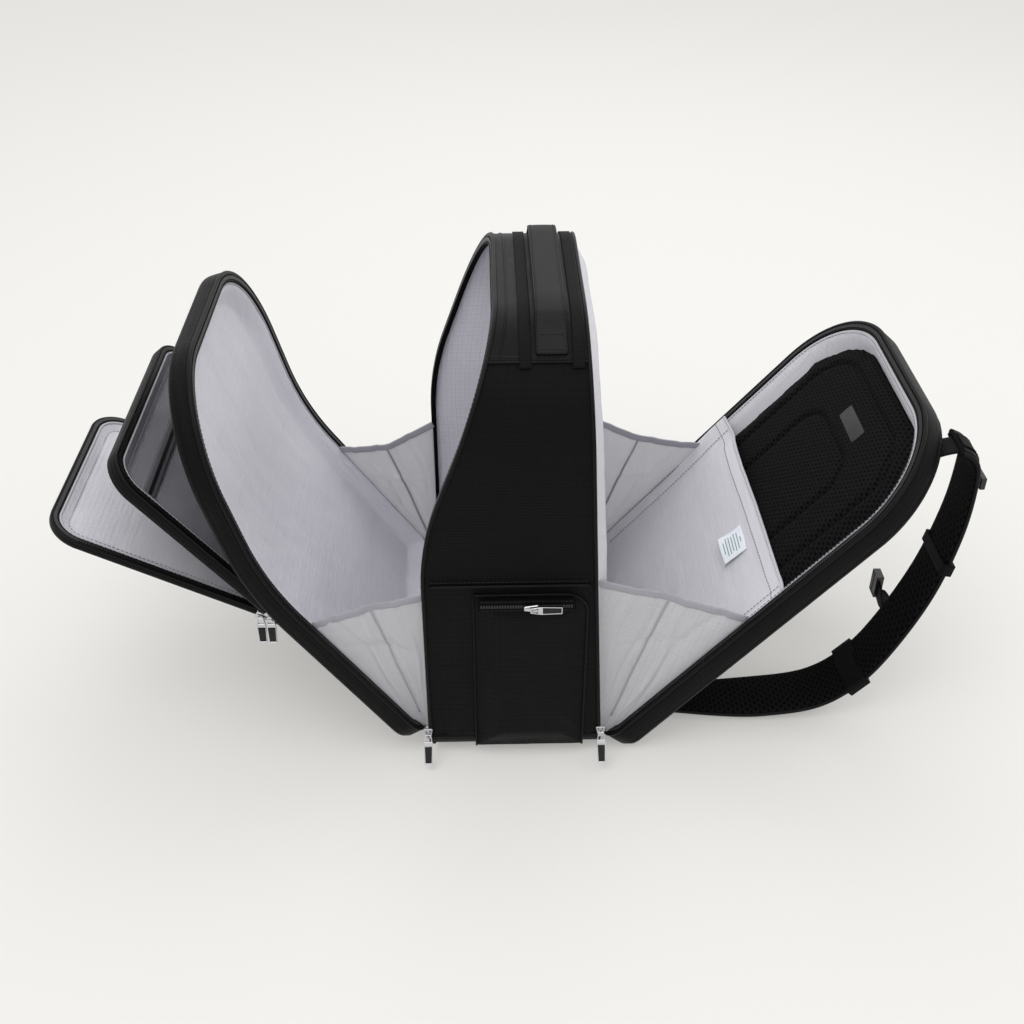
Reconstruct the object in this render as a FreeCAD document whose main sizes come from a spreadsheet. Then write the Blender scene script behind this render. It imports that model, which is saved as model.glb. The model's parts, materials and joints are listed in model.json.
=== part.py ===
"""Travel backpack, opened flat like a book on a pale table.

Frame: millimetres, +Z up, +X towards the back panel with the shoulder straps, Y across the width.
The origin is the centre of the flat base. The main body stands upright; the front panel with its
organizer and outer pocket leans out towards -X and the rear panel leans out towards +X.
Each panel is designed shut against the body, then turned open about its own hinge line.
"""
import FreeCAD, Part
import Sketcher
import math
import os
from FreeCAD import Placement, Rotation, Vector

doc = FreeCAD.newDocument("travel_backpack")
sheet = doc.addObject("Spreadsheet::Sheet", "sizes")

# alias, value in millimetres or degrees, what it is
SIZES = [
    ("width", 320.0, "body width across the side panels"),
    ("height", 446.0, "body height, base to top panel"),
    ("top_radius", 100.0, "round of the two upper corners"),
    ("low_radius", 26.0, "round of the two lower corners"),
    ("seam_in", 35.0, "seam of the top panel, in from the side of the bag"),
    ("front_x", 84.0, "front rim, ahead of the origin"),
    ("back_x", 85.0, "back rim at the base, behind the origin"),
    ("lift", 19.0, "front panel hinge above the table"),
    ("bend_start", 190.0, "straight front edge before the upper bend"),
    ("bend_radius", 277.0, "radius of the bend in the front edge"),
    ("bend_angle", 20.0, "how far the upper front edge leans back"),
    ("back_lean", 3.0, "forward lean of the back rim"),
    ("wall", 3.0, "padded shell fabric"),
    ("lining", 0.8, "lining fabric"),
    ("tape_width", 6.0, "zip tape and teeth"),
    ("tape_thick", 1.8, "zip tape and teeth, through"),
    ("zip_gap", 2.0, "room for the zip between two rims"),
    ("front_depth", 22.0, "depth of the front panel's band"),
    ("front_tilt", 35.0, "front panel, opened from shut"),
    ("toe_radius", 18.0, "round along the front bottom edge"),
    ("heel_radius", 26.0, "round along the rear panel's bottom edge"),
    ("organizer_rise", 176.0, "organizer hinge above the front panel hinge"),
    ("organizer_stand", 10.0, "organizer hinge ahead of the front panel"),
    ("organizer_width", 246.0, "organizer panel"),
    ("organizer_height", 222.0, "organizer panel"),
    ("organizer_depth", 14.0, "organizer band"),
    ("organizer_tilt", 3.0, "organizer, opened from the front panel"),
    ("pocket_width", 212.0, "outer pocket panel"),
    ("pocket_height", 230.0, "outer pocket panel"),
    ("pocket_depth", 9.0, "outer pocket band"),
    ("pocket_stand", 1.5, "outer pocket hinge ahead of the organizer"),
    ("pocket_tilt", 24.0, "outer pocket, opened from the organizer"),
    ("leaf_radius", 32.0, "upper corners of organizer and outer pocket"),
    ("leaf_wall", 1.8, "unpadded pocket fabric"),
    ("mesh_stand", 3.0, "mesh pocket behind the organizer's skin"),
    ("rear_depth", 28.0, "depth of the rear panel's band"),
    ("rear_tilt", 40.0, "rear panel, opened from upright"),
    ("rear_lift", 9.0, "rear panel hinge above the table"),
    ("hinge_step", 3.0, "hinge line clear of the body's rim"),
    ("sleeve_height", 250.0, "top edge of the laptop sleeve"),
    ("sleeve_stand", 1.0, "laptop sleeve behind the rear zip"),
    ("mesh_margin", 12.0, "air mesh in from the edge of the rear panel"),
    ("pad_thick", 9.0, "air mesh padding"),
    ("strap_width", 54.0, "padded shoulder strap"),
    ("strap_thick", 10.0, "padded shoulder strap"),
    ("strap_middle", 95.0, "strap centre line from the middle"),
    ("webbing_width", 25.0, "narrow webbing"),
    ("webbing_thick", 1.6, "narrow webbing"),
    ("lock_long", 12.0, "ladder lock, along the strap"),
    ("lock_thick", 5.0, "ladder lock"),
    ("sternum_height", 107.0, "chest strap above the table"),
    ("sternum_wide", 22.0, "chest strap webbing"),
    ("sternum_long", 26.0, "chest strap webbing, each half"),
    ("buckle_wide", 26.0, "chest buckle"),
    ("buckle_long", 16.0, "chest buckle, each half"),
    ("buckle_thick", 8.0, "chest buckle"),
    ("handle_width", 26.0, "carry handle strap"),
    ("handle_room", 5.5, "gap under the carry handle"),
    ("handle_thick", 3.0, "carry handle strap"),
    ("handle_sewn", 22.0, "length of strap sewn down at each end"),
    ("handle_end", 6.0, "end of the carry handle, in from the seam"),
    ("side_pocket_width", 104.0, "zipped side pocket"),
    ("side_pocket_height", 192.0, "zipped side pocket"),
    ("side_pocket_depth", 8.0, "zipped side pocket"),
    ("side_pocket_front", 38.0, "front edge of the side pocket, ahead of the origin"),
    ("side_pocket_low", 12.0, "lower edge of the side pocket"),
    ("slider_long", 13.0, "zip slider"),
    ("slider_wide", 9.0, "zip slider"),
    ("slider_thick", 4.0, "zip slider"),
    ("pull_long", 28.0, "zip pull"),
    ("pull_wide", 9.0, "zip pull"),
    ("pull_thick", 2.4, "zip pull"),
    ("pull_frame", 2.5, "frame round the pull's window"),
    ("pull_window", 5.0, "window at the pull's upper end"),
    ("clearance", 0.5, "play between pieces that move past each other"),
]
for row, (alias, value, meaning) in enumerate(SIZES, start=1):
    sheet.set("A%d" % row, alias)
    sheet.set("B%d" % row, str(value))
    sheet.setAlias("B%d" % row, alias)
    sheet.set("C%d" % row, meaning)
doc.recompute()


def size(alias):
    """One driving dimension, read from the spreadsheet."""
    return float(sheet.get(alias))


W, H = size("width"), size("height")
TOP_R, LOW_R = size("top_radius"), size("low_radius")
WALL, LINING, GAP = size("wall"), size("lining"), size("zip_gap")
TAPE_W, TAPE_T = size("tape_width"), size("tape_thick")
PLAY = size("clearance")
FAR = 2 * (W + H)          # longer than anything in the model
nodes = []


def keep(obj, label, placement=None):
    """Give a finished sub-part its name and its place, and list it for export."""
    obj.Label = label
    if placement is not None:
        obj.Placement = placement
    nodes.append(obj)
    return obj


def keep_shape(shape, label, placement=None):
    """A sub-part whose outline is an offset of the bent front edge or a strap's run."""
    feature = doc.addObject("Part::Feature", label)
    feature.Shape = shape.Solids[0].removeSplitter() if len(shape.Solids) == 1 else shape
    return keep(feature, label, placement)


# ------------------------------------------------------------------ flat panels, as sketches and pads
def round_outline(sketch, tag, half, low, high, low_radius, top_radius):
    """Closed outline with two lower and two upper corner radii, every size an expression."""
    w, z0, z1 = evaluate(half), evaluate(low), evaluate(high)
    r0, r1 = evaluate(low_radius), evaluate(top_radius)
    flat = Vector(0, 0, 1)
    right = [math.pi * 1.5, math.pi * 2, math.pi * 0.5, math.pi]
    first = sketch.GeometryCount
    lines = [
        (Vector(-w + r0, z0, 0), Vector(w - r0, z0, 0)),
        (Vector(w, z0 + r0, 0), Vector(w, z1 - r1, 0)),
        (Vector(w - r1, z1, 0), Vector(-w + r1, z1, 0)),
        (Vector(-w, z1 - r1, 0), Vector(-w, z0 + r0, 0)),
    ]
    corners = [
        (Vector(w - r0, z0 + r0, 0), r0, right[0], right[1]),
        (Vector(w - r1, z1 - r1, 0), r1, 0.0, right[2]),
        (Vector(-w + r1, z1 - r1, 0), r1, right[2], right[3]),
        (Vector(-w + r0, z0 + r0, 0), r0, right[3], right[0]),
    ]
    for (start, end), (centre, radius, begin, finish) in zip(lines, corners):
        sketch.addGeometry(Part.LineSegment(start, end), False)
        sketch.addGeometry(Part.ArcOfCircle(Part.Circle(centre, flat, radius), begin, finish), False)
    for corner in range(4):
        line, arc = first + 2 * corner, first + 2 * corner + 1
        after = first + (2 * corner + 2) % 8
        sketch.addConstraint(Sketcher.Constraint("Tangent", line, 2, arc, 1))
        sketch.addConstraint(Sketcher.Constraint("Tangent", arc, 2, after, 1))
    sketch.addConstraint(Sketcher.Constraint("Horizontal", first))
    sketch.addConstraint(Sketcher.Constraint("Vertical", first + 2))
    sketch.addConstraint(Sketcher.Constraint("Vertical", first + 6))
    sketch.addConstraint(Sketcher.Constraint("Equal", first + 1, first + 7))
    sketch.addConstraint(Sketcher.Constraint("Equal", first + 3, first + 5))
    driving = [
        ("low_radius", Sketcher.Constraint("Radius", first + 1, r0), low_radius),
        ("top_radius", Sketcher.Constraint("Radius", first + 3, r1), top_radius),
        ("right", Sketcher.Constraint("DistanceX", -1, 1, first + 2, 1, w), half),
        ("left", Sketcher.Constraint("DistanceX", first + 6, 1, -1, 1, w), half),
        ("low", Sketcher.Constraint("DistanceY", -1, 1, first, 1, z0), low),
        ("high", Sketcher.Constraint("DistanceY", -1, 1, first + 4, 1, z1), high),
    ]
    for name, constraint, text in driving:
        index = sketch.addConstraint(constraint)
        sketch.renameConstraint(index, "%s_%s" % (tag, name))
        sketch.setExpression("Constraints.%s_%s" % (tag, name), text)


def evaluate(text):
    """The value of an expression over the sheet's aliases."""
    holder = doc.getObject("scratch_value")
    if holder is None:
        holder = doc.addObject("App::FeaturePython", "scratch_value")
        holder.addProperty("App::PropertyFloat", "Value")
    holder.setExpression("Value", text)
    doc.recompute([holder])
    return holder.Value


def tied(text):
    """An expression in plain aliases, with the sheet's name put before each one."""
    for alias in sorted((name for name, value, meaning in SIZES), key=len, reverse=True):
        text = text.replace("{%s}" % alias, "sizes.%s" % alias)
    return text


def slab(label, layers, placement=None):
    """A body made of pads stacked along X.

    Each layer is (from, thickness, outer outline, inner outline or None), an outline is
    (half width, low, high, lower radius, upper radius), and every entry is an expression.
    """
    body = doc.addObject("PartDesign::Body", label)
    plane = next(item for item in body.Origin.OriginFeatures if item.Role == "YZ_Plane")
    for number, (start, thick, outer, inner) in enumerate(layers):
        sketch = body.newObject("Sketcher::SketchObject", "%s_outline_%d" % (label, number))
        sketch.AttachmentSupport = (plane, [""])
        sketch.MapMode = "FlatFace"
        sketch.setExpression("AttachmentOffset.Base.z", tied(start))
        round_outline(sketch, "outer", *[tied(text) for text in outer])
        if inner:
            round_outline(sketch, "inner", *[tied(text) for text in inner])
        pad = body.newObject("PartDesign::Pad", "%s_pad_%d" % (label, number))
        pad.Profile = sketch
        pad.setExpression("Length", tied(thick))
    doc.recompute()
    return keep(body, label, placement)


def soft_block(label, place, lengths, round_edges):
    """A Part::Box with its corner at place, both given as expressions, and its edges rounded."""
    box = doc.addObject("Part::Box", label + "_block")
    for name, text in zip(("Length", "Width", "Height"), lengths):
        box.setExpression(name, tied(text))
    for name, text in zip("xyz", place):
        box.setExpression("Placement.Base.%s" % name, tied(text))
    doc.recompute()
    rounded = doc.addObject("Part::Fillet", label)
    rounded.Base = box
    rounded.Edges = [(edge, round_edges, round_edges) for edge in range(1, 13)]
    doc.recompute()
    return keep(rounded, label)


def turn(x, z, angle):
    """A turn about the line along Y through x, z."""
    return Placement(Vector(), Rotation(Vector(0, 1, 0), angle), Vector(x, 0, z))


# ------------------------------------------------------------------ bent shells, from offset outlines
def arch(half, low, high, low_radius, top_radius, x0, x1):
    """A solid along X whose section is the bag's outline: round lower and upper corners."""
    def corner(cy, cz, radius, angle):
        middle, end = math.radians(angle + 45), math.radians(angle + 90)
        start = math.radians(angle)
        at = [Vector(x0, cy + radius * math.cos(a), cz + radius * math.sin(a)) for a in (start, middle, end)]
        return Part.Arc(*at).toShape()

    arcs = [
        corner(half - low_radius, low + low_radius, low_radius, 270),
        corner(half - top_radius, high - top_radius, top_radius, 0),
        corner(-half + top_radius, high - top_radius, top_radius, 90),
        corner(-half + low_radius, low + low_radius, low_radius, 180),
    ]
    edges = []
    for arc, following in zip(arcs, arcs[1:] + arcs[:1]):
        edges.append(arc)
        edges.append(Part.makeLine(arc.Vertexes[1].Point, following.Vertexes[0].Point))
    return Part.Face(Part.Wire(edges)).extrude(Vector(x1 - x0, 0, 0))


def outline(inset, x0=-FAR / 2, x1=FAR / 2, low=0.0):
    """The bag's outline moved in by inset, as a long solid."""
    return arch(W / 2 - inset, low + inset, H - inset, LOW_R - inset, TOP_R - inset, x0, x1)


def hoop(outer_inset, inner_inset, low=0.0):
    """The wall between two insets of the outline, all the way round."""
    return outline(outer_inset, low=low).cut(outline(inner_inset, low=low))


def across(edges):
    """A face in the XZ plane made into a solid across the whole width."""
    face = Part.Face(Part.Wire(edges))
    return face.extrude(Vector(0, FAR, 0)).translated(Vector(0, -FAR / 2, 0))


BEND = math.radians(size("bend_angle"))
BEND_R = size("bend_radius")
FRONT_X, LIFT = -size("front_x"), size("lift")
BEND_Z = LIFT + size("bend_start")
LEAN = math.tan(math.radians(size("back_lean")))


def front_edge(out, low):
    """The bent front edge moved out by a distance, from height low to well above the bag."""
    start = Vector(FRONT_X - out, 0, low)
    bend_from = Vector(FRONT_X - out, 0, BEND_Z)
    centre = Vector(FRONT_X + BEND_R, 0, BEND_Z)

    def on_bend(angle):
        reach = BEND_R + out
        return centre + Vector(-reach * math.cos(angle), 0, reach * math.sin(angle))

    top = on_bend(BEND) + Vector(math.sin(BEND), 0, math.cos(BEND)) * H
    bend = Part.Arc(bend_from, on_bend(BEND / 2), on_bend(BEND)).toShape()
    return [Part.makeLine(start, bend_from), bend, Part.makeLine(on_bend(BEND), top)], start, top


def front_band(inner, outer, low, toe=0.0):
    """The space between two offsets of the front edge, above height low, with a rounded toe."""
    near, near_low, near_top = front_edge(inner, low)
    away, away_low, away_top = front_edge(outer, low + toe)
    edges = near + away + [Part.makeLine(near_top, away_top)]
    if toe:
        heel_point = Vector(FRONT_X - outer + toe, 0, low)
        middle = heel_point + Vector(-toe * math.sin(math.pi / 4), 0, toe * (1 - math.cos(math.pi / 4)))
        edges.append(Part.Arc(away_low, middle, heel_point).toShape())
        edges.append(Part.makeLine(heel_point, near_low))
    else:
        edges.append(Part.makeLine(away_low, near_low))
    return across(Part.__sortEdges__(edges))


def body_space(front_in, back_in):
    """The room between the front edge and the leaning back edge, each moved in."""
    toe = size("toe_radius")
    edges, start, top = front_edge(-front_in, toe)
    toe_point = Vector(start.x + toe, 0, 0)
    middle = toe_point + Vector(-toe * math.sin(math.pi / 4), 0, toe * (1 - math.cos(math.pi / 4)))
    back_low = Vector(size("back_x") - back_in, 0, 0)
    back_high = back_low + Vector(-LEAN * top.z, 0, top.z)
    edges.append(Part.Arc(start, middle, toe_point).toShape())
    edges.append(Part.makeLine(toe_point, back_low))
    edges.append(Part.makeLine(back_low, back_high))
    edges.append(Part.makeLine(back_high, top))
    return across(Part.__sortEdges__(edges))


def room(y0, y1, z0, z1):
    """An unbounded-in-X block, for cutting a shell into its sewn panels."""
    return Part.makeBox(FAR, y1 - y0, z1 - z0, Vector(-FAR / 2, y0, z0))


# ------------------------------------------------------------------ main body
SEAM_Y = W / 2 - size("seam_in")
shell = hoop(0, WALL).common(body_space(0, 0))
keep_shape(shell.common(room(-W, W, -1, LOW_R)), "base_panel")
keep_shape(shell.common(room(-W, -SEAM_Y, LOW_R, H + 1)), "side_panel_near")
keep_shape(shell.common(room(SEAM_Y, W, LOW_R, H + 1)), "side_panel_far")
keep_shape(shell.common(room(-SEAM_Y, SEAM_Y, LOW_R, H + 1)), "top_panel")
keep_shape(hoop(WALL, WALL + LINING).common(body_space(TAPE_T, TAPE_T)), "body_lining")
front_tape = hoop(WALL, WALL + TAPE_W).common(body_space(0, 0))
keep_shape(front_tape.common(front_band(-TAPE_T, FAR / 20, LIFT)), "front_zip_tape")
keep_shape(hoop(WALL, WALL + TAPE_W).common(body_space(0, 0)).cut(body_space(-FAR / 20, TAPE_T)),
           "rear_zip_tape")
divider = outline(WALL + LINING).common(body_space(0, TAPE_T))
keep_shape(divider.cut(body_space(-FAR / 20, TAPE_T + WALL)), "divider_panel")
floor_z = WALL + LINING
board = Part.makeBox(size("front_x") + size("back_x") - 4 * WALL - size("toe_radius"), W - 2 * LOW_R, WALL / 2)
board_x = FRONT_X + size("toe_radius") + WALL
keep_shape(board.translated(Vector(board_x, -W / 2 + LOW_R, floor_z)), "base_board")

# The carry handle runs across the top panel, sewn down at both ends.
ROOM, STRAP = size("handle_room"), size("handle_thick")
HANDLE_W = size("handle_width")
HANDLE_X = 0.5 * (size("back_x") - LEAN * H) - 0.5 * HANDLE_W
raised = arch(W / 2 + ROOM + STRAP, 0, H + ROOM + STRAP, LOW_R, TOP_R + ROOM + STRAP, HANDLE_X, HANDLE_X + HANDLE_W)
under = arch(W / 2 + ROOM, 0, H + ROOM, LOW_R, TOP_R + ROOM, -FAR, FAR)
touching = outline(0)
span = SEAM_Y - size("handle_end")
sewn = span - size("handle_sewn")
strap_arch = raised.cut(under).common(room(-span, span, H / 2, FAR))
ends = raised.cut(touching).common(room(-span, -sewn, H / 2, FAR))
ends_far = raised.cut(touching).common(room(sewn, span, H / 2, FAR))
keep_shape(strap_arch.fuse([ends, ends_far]), "carry_handle")

for side, name in ((-1, "near"), (1, "far")):
    pocket_y = "-{width} / 2 - {side_pocket_depth}" if side < 0 else "{width} / 2"
    soft_block("side_pocket_" + name, ("-{side_pocket_front}", pocket_y, "{side_pocket_low}"),
               ("{side_pocket_width}", "{side_pocket_depth}", "{side_pocket_height}"), 2.5)

# ------------------------------------------------------------------ front panel
FRONT_HINGE = (FRONT_X - size("hinge_step"), LIFT)
front_open = turn(*FRONT_HINGE, -size("front_tilt"))
FRONT_OUT = GAP + size("front_depth")
front_low = LIFT + GAP
tray = outline(0).common(front_band(GAP, FRONT_OUT, front_low, size("toe_radius")))
hollow = outline(WALL).common(front_band(0, FRONT_OUT - WALL, front_low + WALL, size("toe_radius") - WALL))
stand = size("organizer_stand")
ledge_z = LIFT + size("organizer_rise")
ledge_x = FRONT_X - FRONT_OUT
ledge = Part.makeBox(stand - PLAY, size("organizer_width") - 2 * size("leaf_radius"), WALL)
ledge.translate(Vector(ledge_x - stand + PLAY, -size("organizer_width") / 2 + size("leaf_radius"), ledge_z - WALL))
keep_shape(tray.cut(hollow).fuse(ledge), "front_panel_shell", front_open)
front_inside = outline(WALL).common(front_band(GAP, FRONT_OUT - WALL, front_low + WALL, size("toe_radius") - WALL))
keep_shape(front_inside.common(front_band(FRONT_OUT - WALL - LINING, FRONT_OUT, front_low + size("toe_radius"))),
           "front_panel_lining", front_open)
keep_shape(hoop(WALL, WALL + TAPE_W).common(front_band(GAP, GAP + TAPE_T, front_low + WALL)),
           "front_panel_zip", front_open)

# ------------------------------------------------------------------ organizer and outer pocket
def leaf_outline(width, height, inset):
    """The outline of an unpadded leaf standing on the organizer's hinge line."""
    low = "{lift} + {organizer_rise} + %s" % inset
    return ("{%s} / 2 - %s" % (width, inset), low, "{lift} + {organizer_rise} + {%s} - %s" % (height, inset),
            "5 - min(%s; 3)" % inset, "{leaf_radius} - %s" % inset)


HINGE_2 = (ledge_x - stand, ledge_z)
organizer_open = front_open.multiply(turn(*HINGE_2, -size("organizer_tilt")))
organizer_back = "-{front_x} - {zip_gap} - {front_depth} - {organizer_stand}"
skin = "{leaf_wall}"
whole = leaf_outline("organizer_width", "organizer_height", "0")
inside = leaf_outline("organizer_width", "organizer_height", skin)
slab("organizer_shell", [
    (organizer_back + " - {organizer_depth}", skin, whole, None),
    (organizer_back + " - {organizer_depth} + " + skin, "{organizer_depth} - " + skin, whole, inside),
], organizer_open)
slab("organizer_zip", [
    (organizer_back + " - {tape_thick}", "{tape_thick}", inside,
     leaf_outline("organizer_width", "organizer_height", "({leaf_wall} + {tape_width})")),
], organizer_open)
slab("mesh_pocket", [
    (organizer_back + " - {organizer_depth} + {leaf_wall} + {mesh_stand}", "{lining}", inside, None),
], organizer_open)

HINGE_1 = (HINGE_2[0] - size("organizer_depth") - size("pocket_stand"), ledge_z)
pocket_open = organizer_open.multiply(turn(*HINGE_1, -size("pocket_tilt")))
pocket_back = organizer_back + " - {organizer_depth} - {pocket_stand}"
whole = leaf_outline("pocket_width", "pocket_height", "0")
inside = leaf_outline("pocket_width", "pocket_height", skin)
slab("outer_pocket_shell", [
    (pocket_back + " - {pocket_depth}", skin, whole, None),
    (pocket_back + " - {pocket_depth} + " + skin, "{pocket_depth} - " + skin, whole, inside),
], pocket_open)
slab("outer_pocket_zip", [
    (pocket_back + " - {tape_thick}", "{tape_thick}", inside,
     leaf_outline("pocket_width", "pocket_height", "({leaf_wall} + {tape_width})")),
], pocket_open)
slab("outer_pocket_lining", [
    (pocket_back + " - {pocket_depth} + {leaf_wall}", "{lining}", inside, None),
], pocket_open)

# ------------------------------------------------------------------ rear panel
REAR_HINGE = (size("back_x") + size("hinge_step"), size("rear_lift"))
rear_open = turn(*REAR_HINGE, size("rear_tilt"))
REAR_X, REAR_D = REAR_HINGE[0], size("rear_depth")


def rear_space(start, end, low, heel):
    """The room between two depths of the rear panel, with its heel rounded."""
    x0, x1 = REAR_X + start, REAR_X + end
    low_out = Vector(x1, 0, low + heel)
    low_in = Vector(x1 - heel, 0, low)
    middle = low_in + Vector(heel * math.sin(math.pi / 4), 0, heel * (1 - math.cos(math.pi / 4)))
    edges = [Part.Arc(low_out, middle, low_in).toShape(), Part.makeLine(low_out, Vector(x1, 0, FAR)),
             Part.makeLine(Vector(x1, 0, FAR), Vector(x0, 0, FAR)),
             Part.makeLine(Vector(x0, 0, FAR), Vector(x0, 0, low))]
    if low_in.x - x0 > 1e-6:
        edges.append(Part.makeLine(Vector(x0, 0, low), low_in))
    return across(Part.__sortEdges__(edges))


HEEL = size("heel_radius")
REAR_TURN = math.radians(size("rear_tilt"))
# The rounded heel stays just above the table at any tilt.
heel_rise = (PLAY - size("rear_lift") + HEEL + (REAR_D - HEEL) * math.sin(REAR_TURN)) / math.cos(REAR_TURN) - HEEL
REAR_LOW = size("rear_lift") + max(-1.0, heel_rise)
rear_tray = outline(0).common(rear_space(0, REAR_D, REAR_LOW, HEEL))
rear_hollow = outline(WALL).common(rear_space(-WALL, REAR_D - WALL, REAR_LOW + WALL, HEEL - WALL))
keep_shape(rear_tray.cut(rear_hollow), "rear_panel_shell", rear_open)
keep_shape(hoop(WALL, WALL + TAPE_W).common(rear_space(0, TAPE_T, REAR_LOW + WALL, 0.5)), "rear_panel_zip", rear_open)
slab("air_mesh_pad", [
    ("{back_x} + {hinge_step} + {rear_depth} - {wall} - {pad_thick}", "{pad_thick}",
     ("{width} / 2 - {mesh_margin}", "{rear_lift} + {heel_radius} + 4", "{height} - {mesh_margin} - 2",
      "{mesh_margin}", "{top_radius} - {mesh_margin}"), None),
], rear_open)
slab("laptop_sleeve", [
    ("{back_x} + {hinge_step} + {tape_thick} + {sleeve_stand}", "{leaf_wall}",
     ("{width} / 2 - {wall} - 0.1", "{rear_lift} + {heel_radius}", "{sleeve_height}", "3", "3"), None),
], rear_open)
# The two back cushions keep the same share of the bag's width and height.
PAD_WIDTH, PAD_MIDDLE, PAD_ROUND = 0.36 * W, 0.24 * W, 0.09 * W
PAD_LOW, PAD_LONG = 0.13 * H, 0.74 * H
for side, name in ((-1, "near"), (1, "far")):
    start = Vector(REAR_X + REAR_D, side * PAD_MIDDLE - PAD_WIDTH / 2, PAD_LOW)
    cushion = Part.makeBox(size("pad_thick"), PAD_WIDTH, PAD_LONG, start)
    edges = [edge for edge in cushion.Edges if abs(edge.BoundBox.XLength - size("pad_thick")) < 1e-6]
    keep_shape(cushion.makeFillet(PAD_ROUND, edges), "back_pad_" + name, rear_open)

# ------------------------------------------------------------------ shoulder straps, as they hang
def band(route, thick, y0, y1):
    """A flat strap that follows a line of points in the XZ plane."""
    points = [Vector(x, 0, z) for x, z in route]

    def side(offset):
        moved = []
        for index, point in enumerate(points):
            before = points[max(index - 1, 0)]
            after = points[min(index + 1, len(points) - 1)]
            run = (after - before).normalize()
            moved.append(point + Vector(-run.z, 0, run.x) * offset)
        curve = Part.BSplineCurve()
        curve.interpolate(moved)
        return curve.toShape()

    inner, outer = side(-thick / 2), side(thick / 2)
    caps = [Part.makeLine(inner.Vertexes[end].Point, outer.Vertexes[end].Point) for end in (0, 1)]
    face = Part.Face(Part.Wire(Part.__sortEdges__([inner, outer] + caps)))
    return face.extrude(Vector(0, y1 - y0, 0)).translated(Vector(0, y0, 0))


def on_rear(out, along):
    """A point of the opened rear panel, from its depth and its height when shut."""
    point = rear_open.multVec(Vector(REAR_X + out, 0, along))
    return point.x, point.z


# A strap comes off the top of the open rear panel and hangs down to the table. Each point of its
# middle line is a share of the panel's reach along X and of its height above the table.
REACH_X, REACH_Z = on_rear(REAR_D, H)
STRAP_REST = size("strap_thick") / 2 + 1.0
STRAP_RUN = [(1.022, 0.978), (1.062, 0.953), (1.078, 0.891), (1.072, 0.713), (1.026, 0.488), (0.939, 0.269),
             (0.850, 0.128), (0.728, 0.037), (0.552, 0.0047), (0.357, 0.0003), (0.212, 0.0041)]
# The far strap has slipped in under the panel, so it hangs closer to it.
FAR_RUN = [(0.995, 0.905), (0.992, 0.855), (0.970, 0.745), (0.915, 0.570), (0.842, 0.372), (0.755, 0.193),
           (0.655, 0.070), (0.530, 0.0120), (0.430, 0.0020), (0.320, 0.0003), (0.212, 0.0041)]
WEBBING_T = size("webbing_thick")


def hung(share_x, share_z):
    """A point of the hanging strap, from its shares."""
    return REAR_X + share_x * (REACH_X - REAR_X), STRAP_REST + share_z * (REACH_Z - STRAP_REST)


ROUTES = {"near": [hung(*shares) for shares in STRAP_RUN], "far": [hung(*shares) for shares in FAR_RUN]}
LAST_TURN = {"near": (-4.5, -1.5), "far": (-3.0, 8.0)}
for side, name in ((-1, "near"), (1, "far")):
    route = ROUTES[name]
    top_x, top_z = route[0]
    low_x, low_z = route[-1]
    middle = side * size("strap_middle")
    half = size("strap_width") / 2
    keep_shape(band(route, size("strap_thick"), middle - half, middle + half), "shoulder_strap_" + name)
    narrow = size("webbing_width") / 2
    # The upper webbing leaves the panel and meets the strap's end, from the side or from above.
    turn_x, turn_z = LAST_TURN[name]
    top_end = [on_rear(REAR_D + 1.0, 0.93 * H), (top_x + turn_x, top_z + turn_z),
               (top_x + 0.13 * turn_x, top_z + 0.07 * turn_z)]
    low_end = [(low_x - 0.5, low_z), (low_x - 10, low_z + 4.7), on_rear(REAR_D + 0.8, 0.09 * H)]
    runs = [band(run, WEBBING_T, middle - narrow, middle + narrow) for run in (top_end, low_end)]
    keep_shape(Part.makeCompound(runs), "strap_webbing_" + name)
    # The ladder lock stands just outside the strap's upper bend.
    bend_x, bend_z = route[2]
    corner = Vector(bend_x + size("strap_thick") / 2 + 1.5, middle - half + 10, bend_z - 13)
    keep_shape(Part.makeBox(size("lock_thick"), 2 * half - 20, size("lock_long"), corner), "ladder_lock_" + name)

# Sternum strap: a webbing tail on the inner edge of each shoulder strap, a buckle half at its end.
STERNUM_Z = size("sternum_height")
for side, name in ((-1, "near"), (1, "far")):
    upper = min((point for point in ROUTES[name] if point[1] > STERNUM_Z), key=lambda point: point[1])
    lower = max((point for point in ROUTES[name] if point[1] <= STERNUM_Z), key=lambda point: point[1])
    share = (STERNUM_Z - lower[1]) / (upper[1] - lower[1])
    STERNUM_X = lower[0] + share * (upper[0] - lower[0])
    inner = side * (size("strap_middle") - size("strap_width") / 2)
    length, wide = size("sternum_long"), size("sternum_wide")
    start = Vector(STERNUM_X - 1, min(inner, inner - side * length), STERNUM_Z - wide / 2)
    keep_shape(Part.makeBox(2, length, wide, start), "sternum_webbing_" + name)
    end = inner - side * length
    long, wide, thick = size("buckle_long"), size("buckle_wide"), size("buckle_thick")
    start = Vector(STERNUM_X - thick / 2, min(end, end - side * long), STERNUM_Z - wide / 2)
    buckle = Part.makeBox(thick, long, wide, start)
    keep_shape(buckle.makeFillet(2, buckle.Edges), "sternum_buckle_" + name)

# ------------------------------------------------------------------ gussets, the folded side stops
def gusset(label, corners, y0, thick):
    """A thin flat piece of fabric in the XZ plane."""
    points = [Vector(x, y0, z) for x, z in corners]
    points.append(points[0])
    keep_shape(Part.Face(Part.makePolygon(points)).extrude(Vector(0, thick, 0)), label)


def opened(placement, x, z):
    """Where a point of a shut leaf lies once the leaf is open."""
    point = placement.multVec(Vector(x, 0, z))
    return point.x, point.z


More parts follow.
